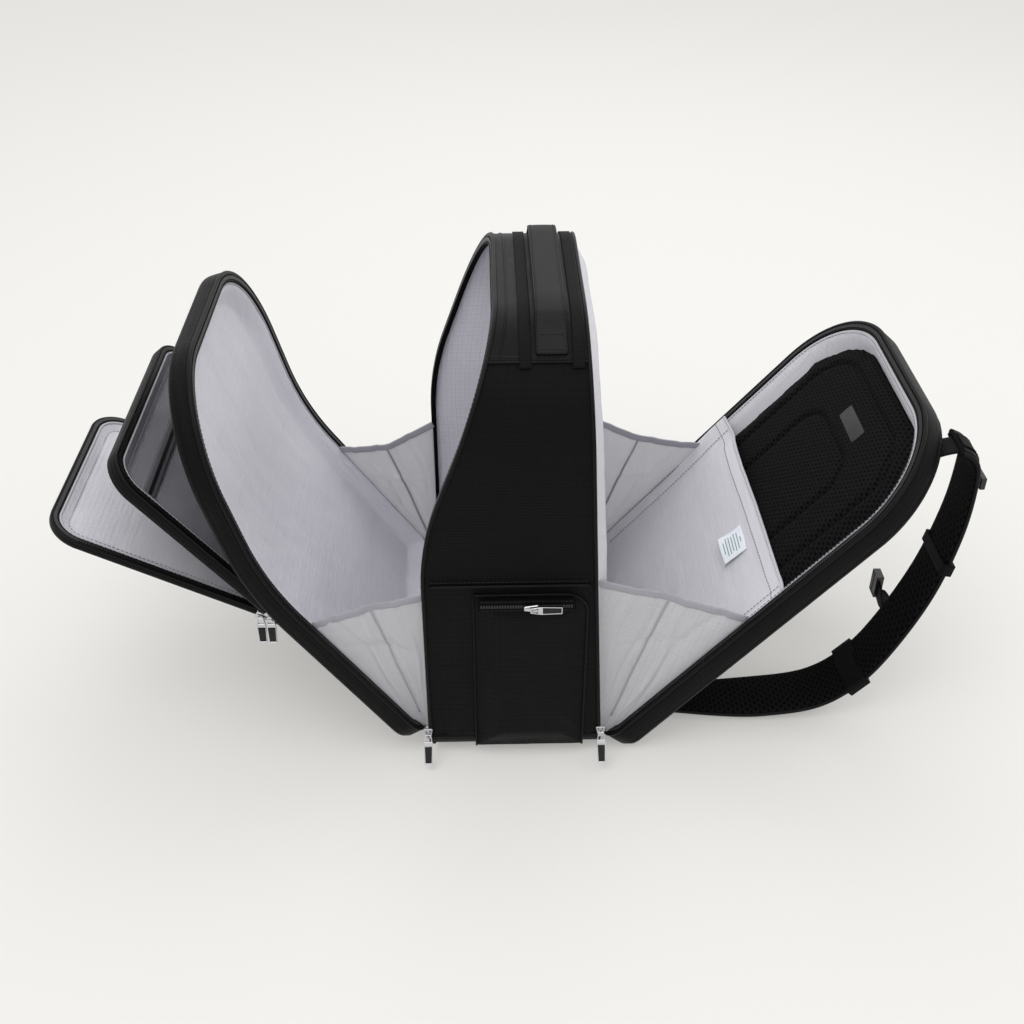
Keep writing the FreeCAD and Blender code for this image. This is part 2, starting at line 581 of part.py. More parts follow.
GUSSET_T = 1.0
GUSSET_IN = WALL + LINING + TAPE_W + 1.5
SEAM = 0.4                  # the gusset's edge stands this far off the rim it is sewn to
front_reach, rear_reach = 0.39 * H, 0.465 * H
front_foot, rear_foot = LIFT + 6, size("rear_lift") + 7
for side, name in ((-1, "near"), (1, "far")):
    y0 = side * (W / 2 - GUSSET_IN) - GUSSET_T / 2
    lip = FRONT_X - GAP + PLAY
    gusset("front_gusset_" + name, [
        (FRONT_X - SEAM, front_foot),
        (FRONT_X - SEAM, LIFT + front_reach),
        opened(front_open, lip, LIFT + front_reach),
        opened(front_open, lip, front_foot + 2),
    ], y0, GUSSET_T)
    back = size("back_x") + SEAM
    gusset("rear_gusset_" + name, [
        (back, rear_foot),
        (back - LEAN * rear_reach, rear_reach),
        opened(rear_open, REAR_X - PLAY, rear_reach),
        opened(rear_open, REAR_X - PLAY, rear_foot),
    ], y0, GUSSET_T)

# ------------------------------------------------------------------ zip sliders and their pulls
def zip_pull(prefix, place, side, swing, placement=Placement(), upright=True):
    """A slider on the outside of a rim, and a framed pull on the slider's bridge.

    place is the slider's centre on the fabric and side is -1 or +1 across the bag. The zip runs up
    and the pull hangs down, turned out by swing, or the zip and its pull both lie along X.
    """
    long, wide, thick = size("slider_long"), size("slider_wide"), size("slider_thick")
    x, y, z = place
    centre = Vector(x, y + side * (PLAY + thick / 2), z)
    lengths = Vector(wide, thick, long) if upright else Vector(long, thick, wide)
    slider = Part.makeBox(*lengths, centre - lengths / 2)
    keep_shape(slider.makeFillet(1.2, slider.Edges), prefix + "_slider", placement)
    pull_l, pull_w, pull_t = size("pull_long"), size("pull_wide"), size("pull_thick")
    frame, opening = size("pull_frame"), size("pull_window")
    pull = Part.makeBox(pull_w, pull_t, pull_l, Vector(-pull_w / 2, -pull_t / 2, -pull_l))
    pull = pull.makeFillet(0.9, pull.Edges)
    pull = pull.fuse(Part.makeCylinder(pull_t / 2, pull_w - 2, Vector(1 - pull_w / 2, 0, 0), Vector(1, 0, 0)))
    corner = Vector(frame - pull_w / 2, -FAR, -frame - opening)
    pull = pull.cut(Part.makeBox(pull_w - 2 * frame, 2 * FAR, opening, corner))
    pivot = Vector(x, y + side * (2 * PLAY + thick + pull_t / 2 + 0.2), z + 1)
    hang = Rotation(Vector(1, 0, 0), side * swing) if upright else Rotation(Vector(0, 1, 0), -90)
    keep_shape(pull, prefix + "_pull", Placement(placement.multVec(pivot), hang))


for side, name in ((-1, "near"), (1, "far")):
    edge_y = side * W / 2
    zip_pull("front_" + name, (FRONT_X - GAP / 2, edge_y, LIFT + 12), side, 35.0)
    zip_pull("rear_" + name, (size("back_x") - 1, edge_y, size("rear_lift") + 21), side, 45.0)
    pocket_face = side * (W / 2 + size("side_pocket_depth"))
    pocket_middle = size("side_pocket_width") / 2 - size("side_pocket_front")
    pocket_top = size("side_pocket_low") + size("side_pocket_height")
    zip_pull("side_pocket_" + name, (pocket_middle, pocket_face, pocket_top - 8), side, 0.0, upright=False)
zip_pull("organizer", (HINGE_2[0] - size("organizer_depth") / 2, -size("organizer_width") / 2, ledge_z + 16), -1, 6.0,
         organizer_open)
zip_pull("outer_pocket", (HINGE_1[0] - size("pocket_depth") / 2, -size("pocket_width") / 2, ledge_z + 16), -1, 6.0,
         pocket_open)

# ------------------------------------------------------------------ check and write
doc.recompute()
for item in doc.Objects:
    if "Invalid" in item.State or "Error" in item.State:
        raise RuntimeError("%s could not be made: %s" % (item.Label, item.State))
os.makedirs("parts", exist_ok=True)
for item in nodes:
    if item.Shape.isNull() or not item.Shape.isValid() or item.Shape.Volume <= 0:
        raise RuntimeError("%s has no valid solid" % item.Label)
    item.Shape.exportStep(os.path.join("parts", item.Label + ".step"))
    print("%-24s %9.1f mm3, %d solid(s)" % (item.Label, item.Shape.Volume, len(item.Shape.Solids)))
print(len(nodes), "sub-parts; front hinge", FRONT_HINGE, "rear hinge", REAR_HINGE)
for name, placement, hinge in (("organizer", front_open, HINGE_2), ("outer pocket", organizer_open, HINGE_1)):
    print(name, "hinge", [round(v, 3) for v in placement.multVec(Vector(hinge[0], 0, hinge[1]))])
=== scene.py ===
# %% [markdown]
# # A travel backpack, unzipped and fanned out
# The pack stands on its base. Its front panel, organizer leaf and outer pocket lean out one way, and the
# laptop panel with the shoulder straps leans out the other way. Every piece here is cloth, padding, tape or
# a small metal or plastic fitting, so the lesson is mostly about sewn things: thin sheets that keep a few
# wrinkles, rims that carry a zip, and pads that look stuffed.

# %% The frame
import json
import math
import bmesh
import bpy
from mathutils import Matrix, Vector, noise

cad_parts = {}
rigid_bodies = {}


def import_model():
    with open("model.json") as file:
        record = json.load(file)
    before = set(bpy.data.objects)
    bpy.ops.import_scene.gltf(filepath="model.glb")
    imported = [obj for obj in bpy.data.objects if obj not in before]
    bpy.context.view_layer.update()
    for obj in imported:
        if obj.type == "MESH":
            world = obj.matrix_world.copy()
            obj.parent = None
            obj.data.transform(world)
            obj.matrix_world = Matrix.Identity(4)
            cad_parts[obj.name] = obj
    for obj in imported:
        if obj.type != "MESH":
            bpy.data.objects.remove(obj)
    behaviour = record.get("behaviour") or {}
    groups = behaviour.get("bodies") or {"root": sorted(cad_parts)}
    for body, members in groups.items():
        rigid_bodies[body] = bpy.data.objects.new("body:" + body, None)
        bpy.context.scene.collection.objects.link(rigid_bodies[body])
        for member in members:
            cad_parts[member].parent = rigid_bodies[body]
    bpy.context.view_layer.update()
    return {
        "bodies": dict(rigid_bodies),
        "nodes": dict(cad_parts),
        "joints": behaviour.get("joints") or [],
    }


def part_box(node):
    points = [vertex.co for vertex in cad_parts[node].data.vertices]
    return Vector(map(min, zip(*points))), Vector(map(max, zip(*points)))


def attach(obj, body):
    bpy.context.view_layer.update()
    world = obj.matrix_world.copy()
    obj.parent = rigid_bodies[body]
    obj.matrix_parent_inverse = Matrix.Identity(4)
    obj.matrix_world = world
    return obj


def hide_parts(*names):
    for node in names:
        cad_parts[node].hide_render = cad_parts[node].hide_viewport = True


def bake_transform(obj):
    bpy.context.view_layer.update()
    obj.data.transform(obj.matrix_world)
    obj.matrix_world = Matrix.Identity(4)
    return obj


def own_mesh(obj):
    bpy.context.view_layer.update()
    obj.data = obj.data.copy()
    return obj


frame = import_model()
joints = {joint["name"]: joint for joint in frame["joints"]}

# %% [markdown]
# ## Sizes
# Lengths are in metres. The outline of the pack is an arch: two small lower corners and two large upper
# ones. The front edge is straight low down and then bends back, and the back rim leans forward a little.

# %% Sizes read from the frame, and the few that the cloth adds
MM = 0.001
base_low, base_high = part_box("base_panel")
HALF = -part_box("side_panel_near")[0].y
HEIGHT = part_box("top_panel")[1].z
FRONT_X, BACK_X = base_low.x, base_high.x
TOP_R, LOW_R, TOE_R = 100 * MM, 26 * MM, 18 * MM
BEND_Z, BEND_R, BEND = 209 * MM, 277 * MM, math.radians(20)
LEAN = math.radians(3)
ZIP_GAP = 2 * MM
FRONT_TILT = joints["front_panel_fold"]["range_deg"][1]
ORGANIZER_TILT, POCKET_TILT, REAR_TILT = 3, 24, 40
FRONT_DEPTH, ORGANIZER_DEPTH, POCKET_DEPTH, REAR_DEPTH = 22 * MM, 14 * MM, 9 * MM, 28 * MM
print("pack", round(2 * HALF, 3), "wide,", round(HEIGHT, 3), "tall")


# %% [markdown]
# ## Camera and light
# The camera looks down at about 36 degrees, almost straight along the width of the pack. Large soft lights
# stand over and behind a pale floor, so that the thin pale gussets glow a little, as cloth does against the
# light.

# %% Camera
camera = bpy.data.objects.new("camera", bpy.data.cameras.new("camera"))
bpy.context.scene.collection.objects.link(camera)
camera.data.lens = 43.55
camera.data.sensor_width = 36
camera.location = (-0.0240, -1.0185, 0.9198)
camera.rotation_mode = "QUATERNION"
camera.rotation_quaternion = Vector((0.01977, 0.80878, -0.58779)).to_track_quat("-Z", "Y")
bpy.context.scene.camera = camera
print("camera lens", camera.data.lens)


# %% Floor, world and lamps
def tone(code):
    """An sRGB hex code as linear red, green, blue and alpha."""
    channels = [int(code[i:i + 2], 16) / 255 for i in (1, 3, 5)]
    return [c / 12.92 if c < 0.04045 else ((c + 0.055) / 1.055) ** 2.4 for c in channels] + [1.0]


def add(tree, kind, settings=None, **links):
    """One shader node with its settings, its inputs set or linked by name."""
    node = tree.nodes.new(kind)
    for name, value in (settings or {}).items():
        setattr(node, name, value)
    for name, value in links.items():
        socket = node.inputs[int(name[1:])] if name[0] == "i" and name[1:].isdigit() else node.inputs[
            name.replace("_", " ")]
        if isinstance(value, bpy.types.NodeSocket):
            tree.links.new(value, socket)
        else:
            socket.default_value = value
    return node


def lamp(name, place, aim, size, power):
    """A square area lamp, aimed at a point."""
    light = bpy.data.lights.new(name, "AREA")
    light.shape = "SQUARE"
    light.size = size
    light.energy = power
    holder = bpy.data.objects.new(name, light)
    bpy.context.scene.collection.objects.link(holder)
    holder.location = place
    holder.rotation_mode = "QUATERNION"
    holder.rotation_quaternion = (Vector(aim) - Vector(place)).to_track_quat("-Z", "Y")


bpy.context.scene.view_settings.view_transform = "Standard"
world = bpy.data.worlds.new("studio")
bpy.context.scene.world = world
world.use_nodes = True
world.node_tree.nodes["Background"].inputs["Color"].default_value = tone("#FFFFFF")
world.node_tree.nodes["Background"].inputs["Strength"].default_value = 0.93
lamp("key", (-0.7, -0.9, 2.4), (0, 0, 0.15), 1.8, 20)
lamp("back", (0.3, 1.4, 2.0), (0, 0, 0.2), 1.8, 12)
lamp("side", (1.7, 0.1, 1.6), (0, 0, 0.2), 1.2, 5)

floor_mesh = bmesh.new()
bmesh.ops.create_grid(floor_mesh, x_segments=1, y_segments=1, size=12)
floor_data = bpy.data.meshes.new("floor")
floor_mesh.to_mesh(floor_data)
floor_mesh.free()
floor = bpy.data.objects.new("floor", floor_data)
floor.location.z = -0.0005
bpy.context.scene.collection.objects.link(floor)
floor_paint = bpy.data.materials.new("pale_paper_floor")
floor_paint.use_nodes = True
paper = floor_paint.node_tree.nodes["Principled BSDF"].inputs
paper["Base Color"].default_value = tone("#BAB9B7")
paper["Specular IOR Level"].default_value = 0.0
paper["Emission Color"].default_value = tone("#F0EFEB")
paper["Emission Strength"].default_value = 0.33
paper["Roughness"].default_value = 0.9
floor_data.materials.append(floor_paint)


# %% [markdown]
# ## Cloth finishes
# A woven cloth is recognised by its thread grid, so each fabric reads a UV map that is laid out in metres
# and repeats its pattern at a real pitch. Ripstop nylon has a thicker thread every few millimetres. The
# thread itself is finer than a render shows, so it is drawn at about a millimetre. Sheen gives the soft
# bright edge that fibres have at a grazing angle.

# %% Pattern helpers
def start(name, colour, roughness, **sockets):
    """A new material, with its shader's plain values set on its own sockets."""
    made = bpy.data.materials.new(name)
    made.use_nodes = True
    tree = made.node_tree
    shader = tree.nodes["Principled BSDF"]
    shader.inputs["Base Color"].default_value = tone(colour)
    shader.inputs["Roughness"].default_value = roughness
    for socket, value in sockets.items():
        shader.inputs[socket.replace("_", " ")].default_value = value
    return made, tree, shader


def math_node(tree, operation, first, second=0.0, third=0.0):
    made = add(tree, "ShaderNodeMath", {"operation": operation}, i0=first, i1=second, i2=third)
    return made.outputs[0]


def cloth_place(tree):
    """The U and V of a piece's cloth map, in metres."""
    uv = add(tree, "ShaderNodeUVMap", {"uv_map": "cloth"})
    split = add(tree, "ShaderNodeSeparateXYZ", Vector=uv.outputs[0])
    return split.outputs[0], split.outputs[1]


def threads(tree, place, pitch, share):
    """1 on a thread that repeats at pitch and fills that share of it, 0 between."""
    phase = math_node(tree, "FRACT", math_node(tree, "DIVIDE", place, pitch))
    middle = math_node(tree, "ABSOLUTE", math_node(tree, "SUBTRACT", phase, 0.5))
    return add(tree, "ShaderNodeMapRange", {"interpolation_type": "SMOOTHSTEP"}, Value=middle,
               From_Min=share / 2, From_Max=share / 2 * 0.4, To_Min=0.0, To_Max=1.0).outputs[0]


def ridge(tree, place, pitch):
    """A rounded rib that repeats at pitch, from 0 to 1."""
    turn = math_node(tree, "MULTIPLY", place, 2 * math.pi / pitch)
    return math_node(tree, "MULTIPLY_ADD", math_node(tree, "SINE", turn), 0.5, 0.5)


def clouds(tree, size, detail=3.0):
    """Soft noise over the piece, in blotches of about that size."""
    where = add(tree, "ShaderNodeTexCoord").outputs["Object"]
    return add(tree, "ShaderNodeTexNoise", Vector=where, Scale=1 / size, Detail=detail).outputs[0]


def mix(tree, share, first, second):
    made = add(tree, "ShaderNodeMix", {"data_type": "RGBA"}, Factor=share)
    a, b = [s for s in made.inputs if s.type == "RGBA"]
    for socket, value in ((a, first), (b, second)):
        if isinstance(value, bpy.types.NodeSocket):
            tree.links.new(value, socket)
        else:
            socket.default_value = tone(value)
    return [s for s in made.outputs if s.type == "RGBA"][0]


def bump(tree, shader, height, depth, strength=1.0):
    made = add(tree, "ShaderNodeBump", Height=height, Distance=depth, Strength=strength)
    tree.links.new(made.outputs[0], shader.inputs["Normal"])


# %% Fabrics
def ripstop(name, dark, light, pitch, roughness, sheen, line=0.22, translucent=0.0, gloss=0.5):
    """Plain weave with a doubled thread at every pitch, in both directions."""
    made, tree, shader = start(name, dark, roughness, Sheen_Weight=sheen, Sheen_Roughness=0.45,
                               Specular_IOR_Level=gloss)
    u, v = cloth_place(tree)
    grid = math_node(tree, "MAXIMUM", threads(tree, u, pitch, line), threads(tree, v, pitch, line))
    fine = math_node(tree, "MULTIPLY", ridge(tree, u, 0.9 * MM), ridge(tree, v, 0.9 * MM))
    height = math_node(tree, "MULTIPLY_ADD", grid, 0.7, math_node(tree, "MULTIPLY", fine, 0.5))
    patch = math_node(tree, "MULTIPLY", clouds(tree, 0.05), 0.45)
    share = math_node(tree, "MULTIPLY_ADD", grid, 0.4, patch)
    tree.links.new(mix(tree, share, dark, light), shader.inputs["Base Color"])
    bump(tree, shader, height, 0.5 * MM, 0.9)
    if translucent:
        glow = add(tree, "ShaderNodeBsdfTranslucent", Color=tone(light))
        blend = add(tree, "ShaderNodeMixShader", i0=translucent, i1=shader.outputs[0], i2=glow.outputs[0])
        out = tree.nodes["Material Output"]
        tree.links.new(blend.outputs[0], out.inputs["Surface"])
    return made


def plain_weave(name, dark, light, roughness, sheen, rib=0.9, gloss=0.3):
    """Smooth tight weave, as on tape, binding and the top panel."""
    made, tree, shader = start(name, dark, roughness, Sheen_Weight=sheen, Sheen_Roughness=0.4,
                               Specular_IOR_Level=gloss)
    u, v = cloth_place(tree)
    fine = math_node(tree, "MULTIPLY", ridge(tree, u, rib * MM), ridge(tree, v, rib * MM))
    share = math_node(tree, "MULTIPLY_ADD", fine, 0.35,
                      math_node(tree, "MULTIPLY", clouds(tree, 0.04), 0.6))
    tree.links.new(mix(tree, share, dark, light), shader.inputs["Base Color"])
    bump(tree, shader, fine, 0.12 * MM, 0.5)
    return made


def spacer_mesh(name, dark, light, across, along, gloss=0.15):
    """Knitted air mesh: rows of small oval holes, each row half a hole over from the last, with painted
    shade in the holes and a painted highlight on the ridges between them.
    """
    made, tree, shader = start(name, dark, 0.8, Specular_IOR_Level=gloss)
    u, v = cloth_place(tree)
    row = math_node(tree, "DIVIDE", v, along)
    shift = math_node(tree, "MULTIPLY", math_node(tree, "MODULO", math_node(tree, "FLOOR", row), 2.0), 0.5)
    x = math_node(tree, "SUBTRACT", math_node(tree, "FRACT", math_node(tree, "ADD", math_node(
        tree, "DIVIDE", u, across), shift)), 0.5)
    y = math_node(tree, "SUBTRACT", math_node(tree, "FRACT", row), 0.5)
    reach = math_node(tree, "SQRT", math_node(tree, "ADD", math_node(tree, "MULTIPLY", x, x),
                                              math_node(tree, "MULTIPLY", y, y)))
    # Painted shade and highlight: the real holes are coloured dark as shade inside the openings, and the
    # ridges between them lighter as a painted highlight. The same mask also gives the bump.
    hole_shade_ridge_highlight = add(tree, "ShaderNodeMapRange", {"interpolation_type": "SMOOTHSTEP"}, Value=reach,
               From_Min=0.22, From_Max=0.42).outputs[0]
    tree.links.new(mix(tree, hole_shade_ridge_highlight, dark, light), shader.inputs["Base Color"])
    bump(tree, shader, hole_shade_ridge_highlight, 0.9 * MM, 0.9)
    return made


def ribbed_webbing(name, dark, light):
    """Narrow woven strap: ribs across it and a fine herringbone."""
    made, tree, shader = start(name, dark, 0.6, Specular_IOR_Level=0.1)
    u, v = cloth_place(tree)
    ribs = ridge(tree, v, 1.8 * MM)
    slant = ridge(tree, math_node(tree, "ADD", u, v), 1.3 * MM)
    height = math_node(tree, "MULTIPLY_ADD", ribs, 0.7, math_node(tree, "MULTIPLY", slant, 0.3))
    tree.links.new(mix(tree, height, dark, light), shader.inputs["Base Color"])
    bump(tree, shader, height, 0.4 * MM, 0.8)
    return made


def grained(name, dark, light):
    """Coated strip with a fine leather grain."""
    made, tree, shader = start(name, dark, 0.55, Specular_IOR_Level=0.15)
    where = add(tree, "ShaderNodeTexCoord").outputs["Object"]
    cells = add(tree, "ShaderNodeTexVoronoi", {"feature": "DISTANCE_TO_EDGE"}, Vector=where,
                Scale=1 / (1.1 * MM))
    tree.links.new(mix(tree, clouds(tree, 0.02), dark, light), shader.inputs["Base Color"])
    bump(tree, shader, cells.outputs[0], 0.15 * MM, 0.5)
    return made


def moulded(name, colour, roughness, metallic=0.0, grain=0.08):
    """Moulded plastic or plated metal, with faint unevenness in its gloss."""
    made, tree, shader = start(name, colour, roughness, Metallic=metallic)
    fine = clouds(tree, 0.6 * MM, 2.0)
    rough = add(tree, "ShaderNodeMapRange", Value=clouds(tree, 6 * MM), To_Min=roughness * 0.8,
                To_Max=roughness * 1.25).outputs[0]
    tree.links.new(rough, shader.inputs["Roughness"])
    bump(tree, shader, fine, grain * MM, 0.15)
    return made


RIPSTOP = ripstop("black_ripstop_nylon", "#020202", "#0F0F10", 3.2 * MM, 0.42, 0.0, line=0.3, gloss=0.09)
TOP_CLOTH = plain_weave("smooth_black_polyester", "#020203", "#09090A", 0.42, 0.0, gloss=0.12)
LINING = ripstop("grey_lining_taffeta", "#D4D3DB", "#E2E1E9", 5 * MM, 0.5, 0.1, line=0.14)
LIGHT_LINING = ripstop("pale_lining_taffeta", "#E0DFE5", "#ECEBF0", 5 * MM, 0.5, 0.1, line=0.14,
                       translucent=0.12)
GUSSET_CLOTH = ripstop("thin_gusset_taffeta", "#DCDCDF", "#EAEAEC", 5 * MM, 0.5, 0.1, line=0.14,
                       translucent=0.5)
BINDING = plain_weave("grey_binding_tape", "#8F8E96", "#A9A8B0", 0.6, 0.2)
PALE_BINDING = plain_weave("pale_binding_tape", "#AFAEB4", "#C6C5CB", 0.6, 0.2)
TAPE = plain_weave("black_zip_tape", "#020202", "#070708", 0.7, 0.0, gloss=0.08)
PIPING = plain_weave("black_piping", "#020202", "#0A0A0B", 0.4, 0.0, gloss=0.15)
COIL = moulded("nylon_zip_coil", "#19191A", 0.35)
AIR_MESH = spacer_mesh("black_air_mesh", "#010101", "#121213", 6.4 * MM, 3.8 * MM, gloss=0.07)
POCKET_MESH = spacer_mesh("grey_pocket_mesh", "#84838B", "#A6A5AD", 2.4 * MM, 1.8 * MM)
WEBBING = ribbed_webbing("black_webbing", "#020202", "#0B0B0C")
GRAINED = grained("grained_black_strip", "#121213", "#1C1C1D")
CHROME = moulded("plated_zinc", "#C9C9CC", 0.16, metallic=1.0, grain=0.03)
INSERT = grained("black_pull_insert", "#1B1B1C", "#2B2B2C")
PLASTIC = moulded("black_acetal", "#101011", 0.38)
THREAD = plain_weave("black_thread", "#050505", "#141414", 0.6, 0.05)
GREY_THREAD = plain_weave("grey_thread", "#7F7E86", "#98979F", 0.6, 0.2)
LABEL = plain_weave("white_satin_label", "#DCE3EC", "#F3F6FA", 0.45, 0.1, rib=0.5)
INK = moulded("grey_label_print", "#6E8C88", 0.6)
BADGE = moulded("soft_rubber_badge", "#1E1E20", 0.5)
GREY_TAPE = plain_weave("grey_zip_tape", "#505056", "#65656C", 0.6, 0.1)
print(len(bpy.data.materials), "materials")


# %% [markdown]
# ## Making cloth
# Every fabric piece starts as a flat grid, which is what a cut of cloth is. A short function says where
# each point of the cut goes, and the piece keeps the cut's own sizes as its UV map. Solidify then gives it
# the thickness of the cloth. The same helper makes a tube or a hoop when two edges of the grid meet.

# %% Cloth helper
def soften(mesh, edges, offset, segments, clamp=False):
    """Round some edges of a mesh."""
    bmesh.ops.bevel(mesh, geom=list(edges), offset=offset, affect="EDGES", segments=segments, profile=0.5,
                    material=-1, clamp_overlap=clamp)


def sharp_edges(mesh):
    """The edges where two faces meet at more than about 35 degrees."""
    return [edge for edge in mesh.edges if edge.calc_face_angle(0) > 0.6]


def piece_from(mesh, name, material, body, smooth=True):
    """Turn a bmesh into a finished piece that rides on a body."""
    data = bpy.data.meshes.new(name)
    mesh.to_mesh(data)
    mesh.free()
    made = bpy.data.objects.new(name, data)
    bpy.context.scene.collection.objects.link(made)
    data.materials.append(material)
    for polygon in data.polygons:
        polygon.use_smooth = smooth
    if body:
        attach(made, body)
    return made


def cloth(name, columns, rows, place, flat, material, body, slot=None, thick=0.8 * MM):
    """A cut of cloth, columns by rows, put in place by place(u, v) with u and v from 0 to 1."""
    mesh = bmesh.new()
    bmesh.ops.create_grid(mesh, x_segments=columns, y_segments=rows, size=0.5)
    mesh.verts.ensure_lookup_table()
    cut = {vert: (vert.co.x + 0.5, vert.co.y + 0.5) for vert in mesh.verts}
    layer = mesh.loops.layers.uv.new("cloth")
    for face in mesh.faces:
        for loop in face.loops:
            u, v = cut[loop.vert]
            if callable(flat):
                loop[layer].uv = flat(u, v)
            else:
                loop[layer].uv = (u * flat[0], v * flat[1])
    for vert, (u, v) in cut.items():
        vert.co = place(u, v)
    bmesh.ops.remove_doubles(mesh, verts=mesh.verts, dist=0.02 * MM)
    made = piece_from(mesh, name, material, body)
    if thick:
        wall = made.modifiers.new("thickness", "SOLIDIFY")
        wall.thickness = thick
        wall.offset = 0.0
    return made


def ease(x):
    """A smooth step from 0 to 1."""
    x = min(max(x, 0.0), 1.0)
    return x * x * (3 - 2 * x)


# %% Outline of a leaf
class Leaf:
    """An arch-shaped panel: its outline, and how a point (y, z, depth) of it lies in the pack."""

    def __init__(self, half, low, high, low_r, top_r, spot, body):
        self.half, self.low, self.high, self.low_r, self.top_r = half, low, high, low_r, top_r
        self.spot, self.body = spot, body
        side, top = high - low - low_r - top_r, 2 * (half - top_r)
        quarter = math.pi / 2
        self.runs = [
            ("arc", low_r * quarter, (-half + low_r, low + low_r), low_r, 270),
            ("line", side, (-half, low + low_r), (0, 1)),
            ("arc", top_r * quarter, (-half + top_r, high - top_r), top_r, 180),
            ("line", top, (-half + top_r, high), (1, 0)),
            ("arc", top_r * quarter, (half - top_r, high - top_r), top_r, 90),
            ("line", side, (half, high - top_r), (0, -1)),
            ("arc", low_r * quarter, (half - low_r, low + low_r), low_r, 0),
            ("line", 2 * (half - low_r), (half - low_r, low), (-1, 0)),
        ]
        self.length = sum(run[1] for run in self.runs)
        self.zip_length = self.length - self.runs[-1][1]

    def edge(self, along, inset=0.0):
        """The point of the outline at a distance along it, and its outward direction."""
        rest = along % self.length
        for kind, length, place, *more in self.runs:
            if rest <= length:
                break
            rest -= length
        if kind == "line":
            way = more[0]
            point = (place[0] + way[0] * rest, place[1] + way[1] * rest)
            out = (-way[1], way[0])
        else:
            angle = math.radians(more[1]) - rest / more[0]
            out = (math.cos(angle), math.sin(angle))
            point = (place[0] + more[0] * out[0], place[1] + more[0] * out[1])
        return point[0] - out[0] * inset, point[1] - out[1] * inset

    def width_at(self, z, inset=0.0):
        """Half the width of the panel at height z, moved in by inset."""
        half, low, high = self.half - inset, self.low + inset, self.high - inset
        r0, r1 = max(self.low_r - inset, 0.1 * MM), max(self.top_r - inset, 0.1 * MM)
        z = min(max(z, low), high)
        if z < low + r0:
            return half - r0 + math.sqrt(max(r0 ** 2 - (low + r0 - z) ** 2, 0))
        if z > high - r1:
            return half - r1 + math.sqrt(max(r1 ** 2 - (z - high + r1) ** 2, 0))
        return half

    def margin(self, y, z):
        """How far a point lies inside the outline."""
        y = abs(y)
        cy, cz = self.half - self.top_r, self.high - self.top_r
        if y > cy and z > cz:
            return self.top_r - math.hypot(y - cy, z - cz)
        cy, cz = self.half - self.low_r, self.low + self.low_r
        if y > cy and z < cz:
            return self.low_r - math.hypot(y - cy, z - cz)
        return min(self.half - y, self.high - z, z - self.low)

    def row(self, v, inset=0.0):
        """Height of a row of the cut, with rows closer together round the corners."""
        low, high = self.low + inset, self.high - inset
        bent = 0.5 - 0.5 * math.cos(math.pi * v)
        return low + (high - low) * (0.55 * v + 0.45 * bent)


def panel(name, leaf, depth, material, slot, inset=0.0, columns=72, rows=96, top=None, bottom=None, **more):
    """A sheet over a leaf's outline; depth(y, z) says how far behind the rim each point lies."""
    def flat_point(u, v):
        u = 0.5 + 0.5 * (0.7 * (2 * u - 1) + 0.3 * math.sin(math.pi / 2 * (2 * u - 1)))
        z = leaf.row(v, inset)
        if top is not None or bottom is not None:
            low = bottom if bottom is not None else leaf.low + inset
            high = top if top is not None else leaf.high - inset
            z = low + (high - low) * v
        return (2 * u - 1) * leaf.width_at(z, inset), z

    def place(u, v):
        y, z = flat_point(u, v)
        return leaf.spot(y, z, depth(y, z))

    return cloth(name, columns, rows, place, flat_point, material, leaf.body, slot, **more)


def hoop(name, leaf, section, material, slot, start_at=0.0, end_at=None, steps=260, **more):
    """A strip round a leaf's rim; section is a list of (inset, depth) points across it."""
    end_at = leaf.zip_length if end_at is None else end_at
    wide = sum(math.dist(a, b) for a, b in zip(section, section[1:]))

    def place(u, v):
        index = v * (len(section) - 1)
        first = min(int(index + 1e-6), len(section) - 2)
        part = index - first
        inset, depth = [a + (b - a) * part for a, b in zip(section[first], section[first + 1])]
        y, z = leaf.edge(start_at + (end_at - start_at) * u, inset)
        return leaf.spot(y, z, depth)

    return cloth(name, steps, len(section) - 1, place, (end_at - start_at, wide), material, leaf.body,
                 slot, **more)


def circle(radius, sides=8, side=0.0, up=0.0):
    """A small circle as a section, for piping and cord."""
    turns = [2 * math.pi * k / sides for k in range(sides + 1)]
    return [(side + radius * math.cos(a), up + radius * math.sin(a)) for a in turns]


def studs(name, spots, size, material, body):
    """Small blocks set along a line, each at a point with its own directions: zip teeth or stitches."""
    mesh = bmesh.new()
    for point, forward, up in spots:
        side = forward.cross(up).normalized()
        turned = Matrix((forward.normalized(), side, up.normalized())).transposed().to_4x4()
        scale = Matrix.Diagonal((*size, 1.0))
        bmesh.ops.create_cube(mesh, size=1.0, matrix=Matrix.Translation(point) @ turned @ scale)
    mesh.loops.layers.uv.new("cloth")
    return piece_from(mesh, name, material, body, smooth=False)


def line_spots(path, ups, pitch):
    """Evenly spaced points along a path, each with the way forward and the way up there."""
    spots, rest = [], pitch / 2
    for index, (a, b) in enumerate(zip(path, path[1:])):
        run = (b - a).length
        while run > 1e-9 and rest < run:
            spots.append((a + (b - a) * (rest / run), (b - a) / run, ups[index]))
            rest += pitch
        rest -= run
    return spots


def rim_line(leaf, inset, depth, start_at=0.0, end_at=None, steps=360):
    """A line along a leaf's rim, and the way out of the cloth at each of its points."""
    end_at = leaf.zip_length if end_at is None else end_at
    path, above = [[leaf.spot(*leaf.edge(start_at + (end_at - start_at) * k / steps, inset), deep)
                    for k in range(steps + 1)] for deep in (depth, depth - MM)]
    return path, [(b - a).normalized() for a, b in zip(path, above)]


# %% [markdown]
# ## The five leaves
# Each leaf is drawn shut, standing against the body, and turned about its hinge line. Depth runs away from
# the rim: into the body, or towards the outside of a leaf.

